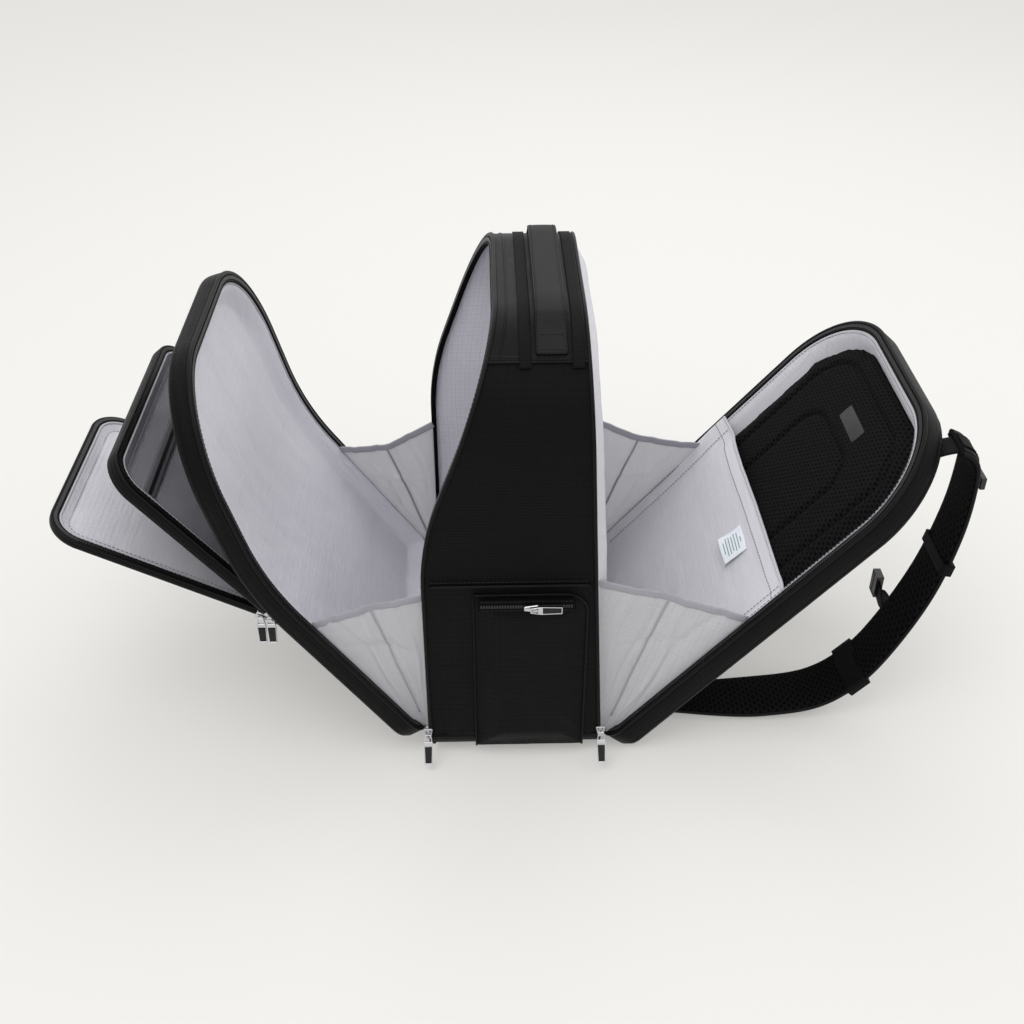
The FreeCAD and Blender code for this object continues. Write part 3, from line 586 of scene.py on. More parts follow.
# %% Leaves
def front_edge(z, toe=False):
    """X of the bent front edge, and how far it leans, at height z."""
    if toe and z < TOE_R:
        return FRONT_X + TOE_R - math.sqrt(TOE_R ** 2 - (TOE_R - max(z, 0)) ** 2), 0.0
    if z < BEND_Z:
        return FRONT_X, 0.0
    if z < BEND_Z + BEND_R * math.sin(BEND):
        angle = math.asin((z - BEND_Z) / BEND_R)
        return FRONT_X + BEND_R * (1 - math.cos(angle)), angle
    top = BEND_Z + BEND_R * math.sin(BEND)
    return FRONT_X + BEND_R * (1 - math.cos(BEND)) + (z - top) * math.tan(BEND), BEND


def back_edge(z):
    return BACK_X - z * math.tan(LEAN)


def turn(hinge, degrees):
    """A turn about the line along Y through a point."""
    point = Vector((hinge[0], 0, hinge[2]))
    spin = Matrix.Rotation(math.radians(degrees), 4, "Y")
    return Matrix.Translation(point) @ spin @ Matrix.Translation(-point)


front_hinge = Vector(joints["front_panel_fold"]["pos_m"])
rear_hinge = Vector(joints["rear_panel_fold"]["pos_m"])
OPEN_FRONT = turn(front_hinge, -FRONT_TILT)
OPEN_REAR = turn(rear_hinge, REAR_TILT)
organizer_hinge = OPEN_FRONT.inverted() @ Vector(joints["organizer_fold"]["pos_m"])
OPEN_ORGANIZER = OPEN_FRONT @ turn(organizer_hinge, -ORGANIZER_TILT)
pocket_hinge = OPEN_ORGANIZER.inverted() @ Vector(joints["outer_pocket_fold"]["pos_m"])
OPEN_POCKET = OPEN_ORGANIZER @ turn(pocket_hinge, -POCKET_TILT)


def spot_front(y, z, depth):
    x, lean = front_edge(z)
    out = ZIP_GAP + depth
    return OPEN_FRONT @ Vector((x - out * math.cos(lean), y, z + out * math.sin(lean)))


def spot_rear(y, z, depth):
    return OPEN_REAR @ Vector((rear_hinge.x + depth, y, z))


def spot_organizer(y, z, depth):
    return OPEN_ORGANIZER @ Vector((organizer_hinge.x - depth, y, z))


def spot_pocket(y, z, depth):
    return OPEN_POCKET @ Vector((pocket_hinge.x - depth, y, z))


def spot_body_front(y, z, depth):
    return Vector((front_edge(z, True)[0] + depth, y, z))


def spot_body_back(y, z, depth):
    return Vector((back_edge(z) - depth, y, z))


LEDGE_Z = organizer_hinge.z
front_leaf = Leaf(HALF, front_hinge.z + 2 * MM, HEIGHT, LOW_R, TOP_R, spot_front, "front_panel")
rear_leaf = Leaf(HALF, rear_hinge.z, HEIGHT, LOW_R, TOP_R, spot_rear, "rear_panel")
organizer_leaf = Leaf(123 * MM, LEDGE_Z, LEDGE_Z + 222 * MM, 5 * MM, 32 * MM, spot_organizer, "organizer")
pocket_leaf = Leaf(106 * MM, LEDGE_Z, LEDGE_Z + 230 * MM, 5 * MM, 32 * MM, spot_pocket, "outer_pocket")
body_front = Leaf(HALF, 0.0, HEIGHT, LOW_R, TOP_R, spot_body_front, "main_body")
body_back = Leaf(HALF, 0.0, HEIGHT, LOW_R, TOP_R, spot_body_back, "main_body")
print("front rim", round(front_leaf.length, 3), "m of zip; rear rim", round(rear_leaf.length, 3), "m")


# %% [markdown]
# ## Sewing helpers
# Most trim on a bag is a long narrow thing that follows a line: piping, binding, webbing, a strap or a row
# of stitches. A sweep takes a line of points and a small section and makes the strip. Cloth is never quite
# flat, so one function gives every panel its soft unevenness, with finer puckers near its seams.

# %% Sweeps, stitches and unevenness
STITCH_PITCH = 4.2 * MM
STITCH = (2.7 * MM, 0.75 * MM, 0.6 * MM)


def directions(path, ups):
    """The side direction at each point of a path, square to the way along and to up."""
    sides = []
    for index in range(len(path)):
        before, after = path[max(index - 1, 0)], path[min(index + 1, len(path) - 1)]
        sides.append((after - before).cross(ups[index]).normalized())
    return sides


def sweep(name, path, ups, section, material, body, slot, closed_ends=True):
    """A strip along a path; section is a list of (side, up) offsets, or a function of the share along."""
    sides = directions(path, ups)
    rows = section(0.0) if callable(section) else section
    last, top = len(path) - 1, len(rows) - 1
    length = sum((b - a).length for a, b in zip(path, path[1:]))
    wide = sum(math.dist(a, b) for a, b in zip(rows, rows[1:]))

    def place(u, v):
        index = round(u * last)
        offsets = section(u) if callable(section) else rows
        side, up = offsets[round(v * top)]
        return path[index] + sides[index] * side + ups[index] * up

    made = cloth(name, last, top, place, lambda u, v: (v * wide, u * length), material, None, slot, thick=0)
    mesh = bmesh.new()
    mesh.from_mesh(made.data)
    if closed_ends:
        rim = [edge for edge in mesh.edges if edge.is_boundary]
        bmesh.ops.holes_fill(mesh, edges=rim, sides=0)
        bmesh.ops.recalc_face_normals(mesh, faces=mesh.faces)
    mesh.to_mesh(made.data)
    mesh.free()
    if body:
        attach(made, body)
    return made


def flat_section(wide, thick, crown=0.0, steps=8):
    """A closed strap section: two faces, the outer one crowned, and rounded edges."""
    across = [-1 + 2 * k / steps for k in range(steps + 1)]
    outer = [(x * wide / 2, thick / 2 + crown * (1 - x * x)) for x in across]
    inner = [(x * wide / 2, -thick / 2 - crown * (1 - x * x)) for x in reversed(across)]
    return outer + inner + outer[:1]


def stitch_row(name, path, ups, body, material=None):
    """A row of thread stitches lying on a path."""
    return studs(name, line_spots(path, ups, STITCH_PITCH), STITCH, material or THREAD, body)


def uneven(a, b, seed, big=1.4 * MM, size=70 * MM, small=0.35 * MM):
    """How far cloth stands off its plane at a place a, b of its cut."""
    return (big * noise.noise(Vector((a / size, b / size, seed)))
            + small * noise.noise(Vector((a / (16 * MM), b / (16 * MM), seed + 7))))


def pucker(a, distance, seed, depth=0.5 * MM):
    """The small gathers beside a seam, dying away over a centimetre."""
    return depth * math.exp(-abs(distance) / (9 * MM)) * noise.noise(Vector((a / (7 * MM), seed, 0.3)))


def declare_sheet(piece):
    """Print the size and area a sheet was cut to, from its own cloth map."""
    layer = piece.data.uv_layers["cloth"].data
    us, vs = [p.uv[0] for p in layer], [p.uv[1] for p in layer]
    flat = (max(us) - min(us), max(vs) - min(vs))
    area = 0.0
    for polygon in piece.data.polygons:
        corners = [layer[k].uv for k in polygon.loop_indices]
        area += abs(sum(a[0] * b[1] - b[0] * a[1] for a, b in zip(corners, corners[1:] + corners[:1]))) / 2
    print(piece.name, "cut", round(flat[0], 3), "x", round(flat[1], 3), "m, area", round(area, 4))


# %% [markdown]
# ## The body
# The shell is sewn from five cuts: a base, two sides, a smooth top and the lining behind them. Each cut is
# a grid that runs round the arch one way and from the front rim to the back rim the other way. The seams
# between them are covered by a fine cord with a row of stitches beside it.

# %% Body cuts
SEAM_Y = 125 * MM
quarter_low = LOW_R * math.pi / 2
side_rise = HEIGHT - TOP_R - LOW_R
to_seam = TOP_R * (math.pi - math.acos((-SEAM_Y + HALF - TOP_R) / TOP_R))
SIDE_FROM, SIDE_TO = quarter_low, quarter_low + side_rise + to_seam
TOP_TO = body_front.zip_length - SIDE_TO


def body_point(along, share, inset):
    y, z = body_front.edge(along, inset)
    start_x, end_x = front_edge(z, True)[0], back_edge(z)
    return Vector((start_x + (end_x - start_x) * share, y, z))


def body_cut(name, start_at, end_at, inset, material, slot, columns, rows, seed, big=1.3 * MM,
             share=(0, 1)):
    def place(u, v):
        along = start_at + (end_at - start_at) * u
        part = share[0] + (share[1] - share[0]) * v
        fade = min(1.0, 8 * min(part, 1 - part) + 0.1) * min(1.0, 6 * min(u, 1 - u) + 0.25)
        off = uneven(along, part * 0.17, seed, big) * fade + pucker(part * 0.17, min(u, 1 - u) * 0.4, seed)
        return body_point(along, part, inset + off)

    def flat(u, v):
        along = start_at + (end_at - start_at) * u
        deep = (body_point(along, 1, inset) - body_point(along, 0, inset)).length
        return along, deep * (share[0] + (share[1] - share[0]) * v - 0.5)

    return cloth(name, columns, rows, place, flat, material, "main_body", slot)


side_near = body_cut("side_cloth_near", SIDE_FROM, SIDE_TO, 0.6 * MM, RIPSTOP,
                     "ripstop_fabric", 110, 44, 1.0)
side_far = body_cut("side_cloth_far", TOP_TO, body_front.zip_length - SIDE_FROM, 0.6 * MM, RIPSTOP,
                    "ripstop_fabric", 110, 44, 2.0)
top_cloth = body_cut("top_cloth", SIDE_TO, TOP_TO, 0.6 * MM, TOP_CLOTH,
                     "smooth_fabric", 90, 60, 3.0, 0.7 * MM)
base_cloth = body_cut("base_cloth", body_front.zip_length - SIDE_FROM, body_front.length + SIDE_FROM,
                      0.6 * MM, RIPSTOP, "ripstop_fabric", 90, 40, 4.0, 0.2 * MM)
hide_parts("side_panel_near")
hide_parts("side_panel_far")
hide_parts("top_panel")
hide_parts("base_panel")
lining = body_cut("body_lining_cloth", 0.0, body_front.length, 4.0 * MM, LINING,
                  "lining_fabric", 240, 50, 5.0, 2.2 * MM, share=(0.012, 0.985))
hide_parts("body_lining")
for piece in (side_near, side_far, top_cloth, base_cloth, lining):
    declare_sheet(piece)


# %% Seams over the body
def body_line(along_from, along_to, share_from, share_to, inset, steps=60):
    """A line over the body's cloth, with the way out of it at each point."""
    path, ups = [], []
    for k in range(steps + 1):
        t = k / steps
        along = along_from + (along_to - along_from) * t
        share = share_from + (share_to - share_from) * t
        point = body_point(along, share, inset)
        path.append(point)
        ups.append((body_point(along, share, inset - MM) - point).normalized())
    return path, ups


for tag, along in (("near", SIDE_TO), ("far", TOP_TO)):
    path, ups = body_line(along, along, 0.01, 0.99, 0.1 * MM)
    sweep("top_seam_" + tag, path, ups, circle(1.1 * MM), PIPING, "main_body", "smooth_fabric")
    step = 5 * MM if tag == "near" else -5 * MM
    path, ups = body_line(along + step, along + step, 0.02, 0.98, 0.0)
    stitch_row("top_seam_stitches_" + tag, path, ups, "main_body")
for tag, share in (("front", 0.13), ("back", 0.9)):
    path, ups = body_line(SIDE_TO, TOP_TO, share, share, 0.2 * MM, 90)
    sweep("top_tunnel_" + tag, path, ups, circle(0.9 * MM), PIPING, "main_body", "smooth_fabric")
print("body cuts and seams made")

# %% [markdown]
# ## Rims and zips
# Each opening carries a coil zip: a tape sewn inside the rim, a row of coil teeth along it, and black
# piping on the outer edge. The same function dresses every rim, so teeth are small blocks that repeat at
# the coil's pitch, drawn a little coarse at 2.4 mm so that they still read as teeth.

# %% Zips
TOOTH = (1.5 * MM, 3.4 * MM, 1.1 * MM)
TOOTH_PITCH = 2.4 * MM
TAPE_WIDE = 13 * MM


def zip_rim(name, leaf, node, inset=3.6 * MM, start_at=0.0, end_at=None, piping=1.9 * MM):
    """Piping, tape, teeth and stitches round a leaf's rim; the teeth stand out of the opening."""
    end_at = leaf.zip_length if end_at is None else end_at
    tape = hoop(name + "_tape", leaf,
                [(0.8 * MM, 0.3 * MM), (inset, 0.2 * MM),
                 (inset + 5.6 * MM, 0.6 * MM), (inset + 5.8 * MM, 5 * MM)],
                TAPE, "zip_tape", start_at, end_at)
    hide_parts(node)
    hoop(name + "_piping", leaf, circle(piping, side=0.6 * MM, up=1.0 * MM), PIPING, "zip_tape",
         start_at, end_at, thick=0)
    spots, count = [], int((end_at - start_at) / TOOTH_PITCH)
    for k in range(count):
        along = start_at + (k + 0.5) * (end_at - start_at) / count
        here = leaf.spot(*leaf.edge(along, inset + 1.6 * MM), 0.0)
        ahead = leaf.spot(*leaf.edge(along + MM, inset + 1.6 * MM), 0.0)
        out = leaf.spot(*leaf.edge(along, inset + 1.6 * MM), -1.3 * MM)
        spots.append((here, (ahead - here).normalized(), (out - here).normalized()))
    studs(name + "_teeth", spots, TOOTH, COIL, leaf.body)
    path, ups = rim_line(leaf, inset + 4.6 * MM, -0.1 * MM, start_at, end_at, 400)
    stitch_row(name + "_stitches", path, ups, leaf.body)


low_stop = 21 * MM
zip_rim("body_front_zip", body_front, "front_zip_tape", start_at=low_stop,
        end_at=body_front.zip_length - low_stop)
zip_rim("body_rear_zip", body_back, "rear_zip_tape", start_at=6 * MM, end_at=body_back.zip_length - 6 * MM)
zip_rim("front_panel_zip_edge", front_leaf, "front_panel_zip")
zip_rim("rear_panel_zip_edge", rear_leaf, "rear_panel_zip")
zip_rim("organizer_zip_edge", organizer_leaf, "organizer_zip", inset=1.9 * MM, piping=1.4 * MM)
zip_rim("outer_pocket_zip_edge", pocket_leaf, "outer_pocket_zip", inset=1.9 * MM, piping=1.4 * MM)
print("six rims dressed")

# %% [markdown]
# ## Inside the body
# The lining is turned over a cord at the front opening, which shows as a bright soft roll. The divider
# closes the back. It is light cloth over thin foam, so it bulges a little past the rim.

# %% Lining rolls and divider
hoop("lining_roll", body_front, circle(2.0 * MM, side=7.6 * MM, up=2.6 * MM), PALE_BINDING, "lining_fabric",
     24 * MM, body_front.zip_length - 24 * MM, thick=0)
hoop("lining_binding", body_back, circle(1.6 * MM, side=5.6 * MM, up=22 * MM), BINDING, "lining_fabric",
     8 * MM, body_back.zip_length - 8 * MM, thick=0)


def divider_depth(y, z):
    m = body_back.margin(y, z)
    belly = ease(m / (34 * MM))
    return 2 * MM - 11 * MM * belly - uneven(y, z, 9.0, 2.0 * MM, 90 * MM, 0.5 * MM) * ease(m / (20 * MM))


divider = panel("divider_cloth", body_back, divider_depth, LIGHT_LINING, "lining_fabric", inset=4.4 * MM,
                thick=1.2 * MM)
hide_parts("divider_panel")
declare_sheet(divider)
flat_at = spot_body_back(0, HEIGHT / 2, 3 * MM)
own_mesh(divider)
board_low, board_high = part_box("base_board")


def floor_cloth(u, v):
    x = board_low.x - 6 * MM + (board_high.x - board_low.x + 26 * MM) * u
    y = board_low.y + (board_high.y - board_low.y) * v
    return Vector((x, y, board_high.z + 1.2 * MM + abs(uneven(x, y, 12.0, 1.5 * MM))))


floor_lining = cloth("base_lining_cloth", 50, 80, floor_cloth,
                     (board_high.x - board_low.x + 20 * MM, board_high.y - board_low.y),
                     LINING, "main_body", "lining_fabric")
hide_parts("base_board")
declare_sheet(floor_lining)

# %% [markdown]
# ## Carry handle
# A grained strip is stitched over the crown, with a black woven strip each side of it. The handle stands
# clear in the middle and is sewn flat at both ends, so its height over the top follows one smooth step.

# %% Handle
handle_low, handle_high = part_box("carry_handle")
HANDLE_X = (handle_low.x + handle_high.x) / 2
HANDLE_WIDE = handle_high.x - handle_low.x
RAISE, HANDLE_THICK, SEWN = 5.5 * MM, 3 * MM, 22 * MM
middle_along = body_front.zip_length / 2
half_handle = middle_along - SIDE_TO - 6 * MM


def crown_line(x, half_long, height):
    """A line along Y over the crown at a fixed X, at a height that depends on the place along it."""
    path, ups = [], []
    for k in range(121):
        along = middle_along - half_long + 2 * half_long * k / 120
        lift = height(along - middle_along)
        y, z = body_front.edge(along, -lift)
        y1, z1 = body_front.edge(along, -lift - MM)
        path.append(Vector((x, y, z)))
        ups.append(Vector((0, y1 - y, z1 - z)).normalized())
    return path, ups


def handle_height(t):
    return 1.6 * MM + RAISE * ease((half_handle - SEWN - abs(t)) / (16 * MM))


path, ups = crown_line(HANDLE_X, half_handle, handle_height)
handle = sweep("carry_handle_strip", path, ups,
               flat_section(HANDLE_WIDE, HANDLE_THICK - 0.8 * MM, 0.4 * MM),
               GRAINED, "main_body", "grained_strap")
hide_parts("carry_handle")
for tag, off in (("front", -1), ("back", 1)):
    x = HANDLE_X + off * (HANDLE_WIDE / 2 - 2.4 * MM)
    path, ups = crown_line(x, half_handle - 2 * MM, lambda t: handle_height(t) + 1.35 * MM)
    stitch_row("handle_stitches_" + tag, path, ups, "main_body", THREAD)
    x = HANDLE_X + off * (HANDLE_WIDE / 2 - 0.6 * MM)
    path, ups = crown_line(x, half_handle, lambda t: handle_height(t) + 0.5 * MM)
    sweep("handle_edge_" + tag, path, ups, circle(0.9 * MM, 6), PIPING, "main_body", "grained_strap")
    x = HANDLE_X + off * (HANDLE_WIDE / 2 + 9 * MM)
    path, ups = crown_line(x, half_handle + 12 * MM, lambda t: 0.9 * MM)
    sweep("crown_strip_" + tag, path, ups, flat_section(10 * MM, 1.1 * MM), WEBBING, "main_body", "webbing")
for tag, off in (("near", -1), ("far", 1)):
    for number in (0, 1):
        along = middle_along + off * (half_handle - 4 * MM - number * 14 * MM)
        y, z = body_front.edge(along, -3.2 * MM)
        path = [Vector((HANDLE_X + (k / 10 - 0.5) * (HANDLE_WIDE - 6 * MM), y, z)) for k in range(11)]
        y1, z1 = body_front.edge(along, -4.2 * MM)
        up = Vector((0, y1 - y, z1 - z)).normalized()
        stitch_row("handle_bar_%s_%d" % (tag, number), path, [up] * 11, "main_body", THREAD)
print("handle", round(2 * half_handle, 3), "m along the crown")

# %% [markdown]
# ## Side pockets
# A flat zipped pocket is sewn on each side. Cloth sewn round its edge and left slack in the middle pillows,
# most of all near the bottom where things rest, so the panel rises from its seam in a soft crown.

# %% Side pockets
TRIM = "ripstop_fabric"


def side_pocket(tag):
    low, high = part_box("side_pocket_" + tag)
    sign = -1 if tag == "near" else 1
    wall = -HALF if tag == "near" else HALF
    wide, tall = high.x - low.x, high.z - low.z
    corner = 20 * MM

    def margin(x, z):
        right, top = high.x - x, high.z - z
        if right < corner and top < corner:
            return corner - math.hypot(corner - right, corner - top)
        return min(x - low.x, right, z - low.z, top)

    def place(u, v):
        z = low.z + tall * v
        top = high.z - z
        cut = corner - math.sqrt(max(corner ** 2 - (corner - top) ** 2, 0)) if top < corner else 0.0
        x = low.x + (wide - cut) * u
        m = max(margin(x, z), 0.0)
        rise = ease(m / (26 * MM)) * (4.6 * MM + 2.2 * MM * (1 - v)) + ease(m / (4 * MM)) * 0.9 * MM
        rise += uneven(x, z, 21.0, 1.1 * MM, 45 * MM) * ease(m / (15 * MM))
        rise += pucker(x + z, m, 22.0, 0.7 * MM)
        return Vector((x, wall + sign * max(rise + 0.2 * MM, 0.2 * MM), z))

    made = cloth("side_pocket_cloth_" + tag, 56, 96, place, (wide, tall), RIPSTOP, "main_body", TRIM)
    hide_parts("side_pocket_" + tag)

    def side_line(points, out):
        path = [Vector((x, wall + sign * out, z)) for x, z in points]
        return path, [Vector((0, sign, 0))] * len(path)

    def run(x0, z0, x1, z1):
        return [(x0 + (x1 - x0) * k / 40, z0 + (z1 - z0) * k / 40) for k in range(41)]

    outline = run(low.x, high.z, high.x - corner, high.z) + [
        (high.x - corner + corner * math.sin(a), high.z - corner + corner * math.cos(a))
        for a in [math.pi / 2 * k / 10 for k in range(1, 10)]] + run(high.x, high.z - corner, high.x, low.z)
    path, ups = side_line(outline, 0.8 * MM)
    sweep("side_pocket_cord_" + tag, path, ups, circle(1.2 * MM), PIPING, "main_body", TRIM)
    path, ups = side_line(run(low.x, high.z - 2 * MM, low.x, low.z), 0.8 * MM)
    sweep("side_pocket_seam_" + tag, path, ups, circle(1.0 * MM), PIPING, "main_body", TRIM)
    zip_z = high.z - 8 * MM
    path, ups = side_line(run(low.x + 4 * MM, zip_z, high.x - 12 * MM, zip_z), 6.3 * MM)
    sweep("side_pocket_tape_" + tag, path, ups, flat_section(TAPE_WIDE, 1.0 * MM, 0.5 * MM),
          TAPE, "main_body", "zip_tape")
    path, ups = side_line(run(low.x + 6 * MM, zip_z, high.x - 14 * MM, zip_z), 7.4 * MM)
    studs("side_pocket_teeth_" + tag, line_spots(path, ups, TOOTH_PITCH), TOOTH,
          COIL, "main_body")
    for k, off in enumerate((5 * MM, -5 * MM)):
        path, ups = side_line(run(low.x + 6 * MM, zip_z + off, high.x - 14 * MM, zip_z + off), 6.9 * MM)
        stitch_row("side_pocket_stitches_%s_%d" % (tag, k), path, ups, "main_body")
    seam_z = high.z + 10 * MM
    path, ups = side_line(run(FRONT_X + 7 * MM, seam_z, back_edge(seam_z) - 6 * MM, seam_z), 0.4 * MM)
    sweep("side_seam_" + tag, path, ups, circle(1.3 * MM), PIPING, "main_body", TRIM)
    path, ups = side_line(
        run(FRONT_X + 7 * MM, seam_z + 5 * MM, back_edge(seam_z) - 6 * MM, seam_z + 5 * MM), 0.5 * MM)
    stitch_row("side_seam_stitches_" + tag, path, ups, "main_body")


side_pocket("near")
side_pocket("far")
print("two side pockets")

# %% [markdown]
# ## Padded shells of the leaves
# The front panel and the rear panel are shallow trays. A tray is two cuts: a band that stands round the rim
# and a face that rolls over into it. The face gets softly rounded edges from its distance to the outline.

# %% Tray shells
def tray(name, leaf, depth, soft, low_soft, node, seed):
    """Outer band and face of a tray; soft is the roll of its edge, low_soft the roll along its bottom."""
    def roll(distance, radius):
        short = max(radius - max(distance, 0.0), 0.0)
        return radius - math.sqrt(max(radius ** 2 - short ** 2, 0.0))

    def outer(y, z):
        m = leaf.margin(y, z)
        back = max(roll(m, soft), roll(z - leaf.low, low_soft))
        return depth - back - abs(uneven(y, z, seed, 2.0 * MM, 80 * MM, 0.4 * MM)) * ease(m / (22 * MM))

    face = panel(name + "_face", leaf, outer, RIPSTOP, TRIM, columns=84, rows=110)
    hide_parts(node)
    side = hoop(name + "_band", leaf, [(0.2 * MM, 1 * MM), (-0.3 * MM, 0.3 * (depth - soft)),
                                       (-0.2 * MM, 0.7 * (depth - soft)), (0.0, depth - soft)],
                RIPSTOP, TRIM)
    for vert in side.data.vertices:
        vert.co.z = max(vert.co.z, 0.5 * MM)
    hoop(name + "_foot", leaf, [(0.1 * MM, 0.5 * MM), (0.1 * MM, max(depth - low_soft, 1.5 * MM))],
         RIPSTOP, TRIM, leaf.zip_length, leaf.length, steps=60)
    declare_sheet(face)


tray("front_shell", front_leaf, FRONT_DEPTH, 7 * MM, 18 * MM, "front_panel_shell", 31.0)
tray("rear_shell", rear_leaf, REAR_DEPTH, 8 * MM, 26 * MM, "rear_panel_shell", 32.0)
tray("organizer_shell", organizer_leaf, ORGANIZER_DEPTH, 3 * MM, 3 * MM, "organizer_shell", 33.0)
tray("outer_pocket_shell", pocket_leaf, POCKET_DEPTH, 3 * MM, 3 * MM, "outer_pocket_shell", 34.0)
print("four trays")

# %% [markdown]
# ## Linings of the trays
# A lining starts at the zip tape, turns down the inside of the band and lies loose over the padded face. As
# a height it is one soft step from the rim, with broad waves where the taffeta is slack.

# %% Linings
def bowl(leaf, start_deep, deep, turn_over, seed, wave=2.4 * MM, from_inset=9.0 * MM):
    def depth(y, z):
        m = leaf.margin(y, z) - from_inset
        fall = start_deep + (deep - start_deep) * ease(m / turn_over)
        slack = (uneven(y, z, seed, wave, 75 * MM, 0.5 * MM)
                 + uneven(2.4 * y + 0.5 * z, 0.5 * z, seed + 7, 0.9 * wave))
        return fall + slack * ease(m / (25 * MM)) + pucker(y + z, m, seed)

    return depth


front_lining = panel("front_lining_cloth", front_leaf,
                     bowl(front_leaf, 2 * MM, 16.5 * MM, 20 * MM, 41.0, 2.0 * MM),
                     LINING, "lining_fabric", inset=9.0 * MM, columns=90, rows=120)
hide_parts("front_panel_lining")
rear_lining = panel("rear_lining_cloth", rear_leaf,
                    bowl(rear_leaf, 2 * MM, 21.5 * MM, 16 * MM, 42.0, 0.8 * MM, 11 * MM),
                    LIGHT_LINING, "lining_fabric", inset=9.0 * MM, columns=90, rows=120)
organizer_lining = panel("mesh_pocket_cloth", organizer_leaf,
                         bowl(organizer_leaf, 1.6 * MM, 9.5 * MM, 14 * MM, 43.0, 1.6 * MM, 7.4 * MM),
                         POCKET_MESH, "pocket_mesh", inset=7.4 * MM, columns=70, rows=80)
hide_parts("mesh_pocket")
pocket_lining = panel("outer_pocket_lining_cloth", pocket_leaf,
                      bowl(pocket_leaf, 1.6 * MM, 6.2 * MM, 12 * MM, 44.0, 1.2 * MM, 7.4 * MM), LINING,
                      "lining_fabric", inset=7.4 * MM, columns=70, rows=80)
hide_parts("outer_pocket_lining")
for piece in (front_lining, rear_lining, organizer_lining, pocket_lining):
    declare_sheet(piece)


# %% Bindings inside the leaves
for leaf, tag, inset in ((organizer_leaf, "organizer", 8.2 * MM), (pocket_leaf, "outer_pocket", 8.2 * MM)):
    path, ups = rim_line(leaf, inset, 1.6 * MM)
    sweep(tag + "_light_piping", path, ups, circle(1.7 * MM), PALE_BINDING, leaf.body, "lining_fabric")
    path, ups = rim_line(leaf, inset + 9 * MM, 5.2 * MM)
    stitch_row(tag + "_lining_stitches", path, ups, leaf.body, GREY_THREAD)
path, ups = rim_line(front_leaf, 10.2 * MM, 2.6 * MM)
sweep("front_lining_piping", path, ups, circle(1.6 * MM), BINDING, "front_panel", "lining_fabric")
path, ups = rim_line(rear_leaf, 10.2 * MM, 2.4 * MM)
sweep("rear_lining_piping", path, ups, circle(1.6 * MM), PALE_BINDING, "rear_panel", "lining_fabric")
path, ups = rim_line(rear_leaf, 12.6 * MM, 1.4 * MM)
stitch_row("rear_lining_stitches", path, ups, "rear_panel", GREY_THREAD)

# A grey zip closes the mesh pocket of the organizer, straight across below its upper edge.
zip_z, zip_half = organizer_leaf.high - 46 * MM, organizer_leaf.half - 18 * MM
path, above = [[organizer_leaf.spot(zip_half * (2 * k / 60 - 1), zip_z, deep) for k in range(61)]
               for deep in (7.2 * MM, 6.2 * MM)]
ups = [(b - a).normalized() for a, b in zip(path, above)]
sweep("mesh_pocket_zip", path, ups, flat_section(TAPE_WIDE, 1.0 * MM, 0.6 * MM),
      GREY_TAPE, "organizer", "zip_tape")
spots = line_spots([p + u * 1.3 * MM for p, u in zip(path, ups)], ups, TOOTH_PITCH)
studs("mesh_pocket_teeth", spots, TOOTH, COIL, "organizer")
print("linings and their bindings")

# %% [markdown]
# ## Air mesh, laptop sleeve and label
# The rear tray holds a padded wall of knitted air mesh. Two rounded channels are quilted into it. The
# laptop sleeve is a loose cloth over the lower half, with a turned hem, and a small care label is caught in
# that hem. Foam under fabric swells evenly, so the pads are inflated by a short cloth simulation with
# gravity off.

# %% Inflating a pad
VOXEL, PRESSURE, FRAMES = 5 * MM, 4.0, 20


def rounded_slab(leaf_spot, half, low, high, radius, front, back, middle_y=0.0):
    """A closed block with a rounded outline, between two depths of a leaf."""
    mesh = bmesh.new()
    corners = []
    for cy, cz, start_deg in ((half - radius, high - radius, 0), (-half + radius, high - radius, 90),
                              (-half + radius, low + radius, 180), (half - radius, low + radius, 270)):
        for k in range(9):
            a = math.radians(start_deg + 90 * k / 8)
            corners.append((middle_y + cy + radius * math.cos(a), cz + radius * math.sin(a)))
    ring = [mesh.verts.new(leaf_spot(y, z, front)) for y, z in corners]
    face = mesh.faces.new(ring)
    grown = bmesh.ops.extrude_face_region(mesh, geom=[face])
    shift = leaf_spot(0, high, back) - leaf_spot(0, high, front)
    bmesh.ops.translate(mesh, vec=shift, verts=[v for v in grown["geom"]
                                                if isinstance(v, bmesh.types.BMVert)])
    bmesh.ops.recalc_face_normals(mesh, faces=mesh.faces)
    return mesh


def inflate(name, mesh, cap):
    """Remesh a closed form and swell it by cloth pressure; no point moves further than cap."""
    data = bpy.data.meshes.new(name)
    mesh.to_mesh(data)
    mesh.free()
    made = bpy.data.objects.new(name, data)
    bpy.context.scene.collection.objects.link(made)
    remesh = made.modifiers.new("even", "REMESH")
    remesh.mode, remesh.voxel_size = "VOXEL", VOXEL
    bake(made)
    rest = [v.co.copy() for v in made.data.vertices]
    soft = made.modifiers.new("puff", "CLOTH")
    soft.settings.use_pressure = True
    soft.settings.uniform_pressure_force = PRESSURE
    soft.settings.effector_weights.gravity = 0.0
    soft.settings.tension_stiffness = soft.settings.compression_stiffness = 40
    for frame_number in range(1, FRAMES + 1):
        bpy.context.scene.frame_set(frame_number)
    bake(made)
    for vert, was in zip(made.data.vertices, rest):
        move = vert.co - was
        if move.length > cap:
            vert.co = was + move.normalized() * cap
    bpy.context.scene.frame_set(1)
    round_off = made.modifiers.new("round", "SMOOTH")
    round_off.iterations = 4
    bake(made)
    return made


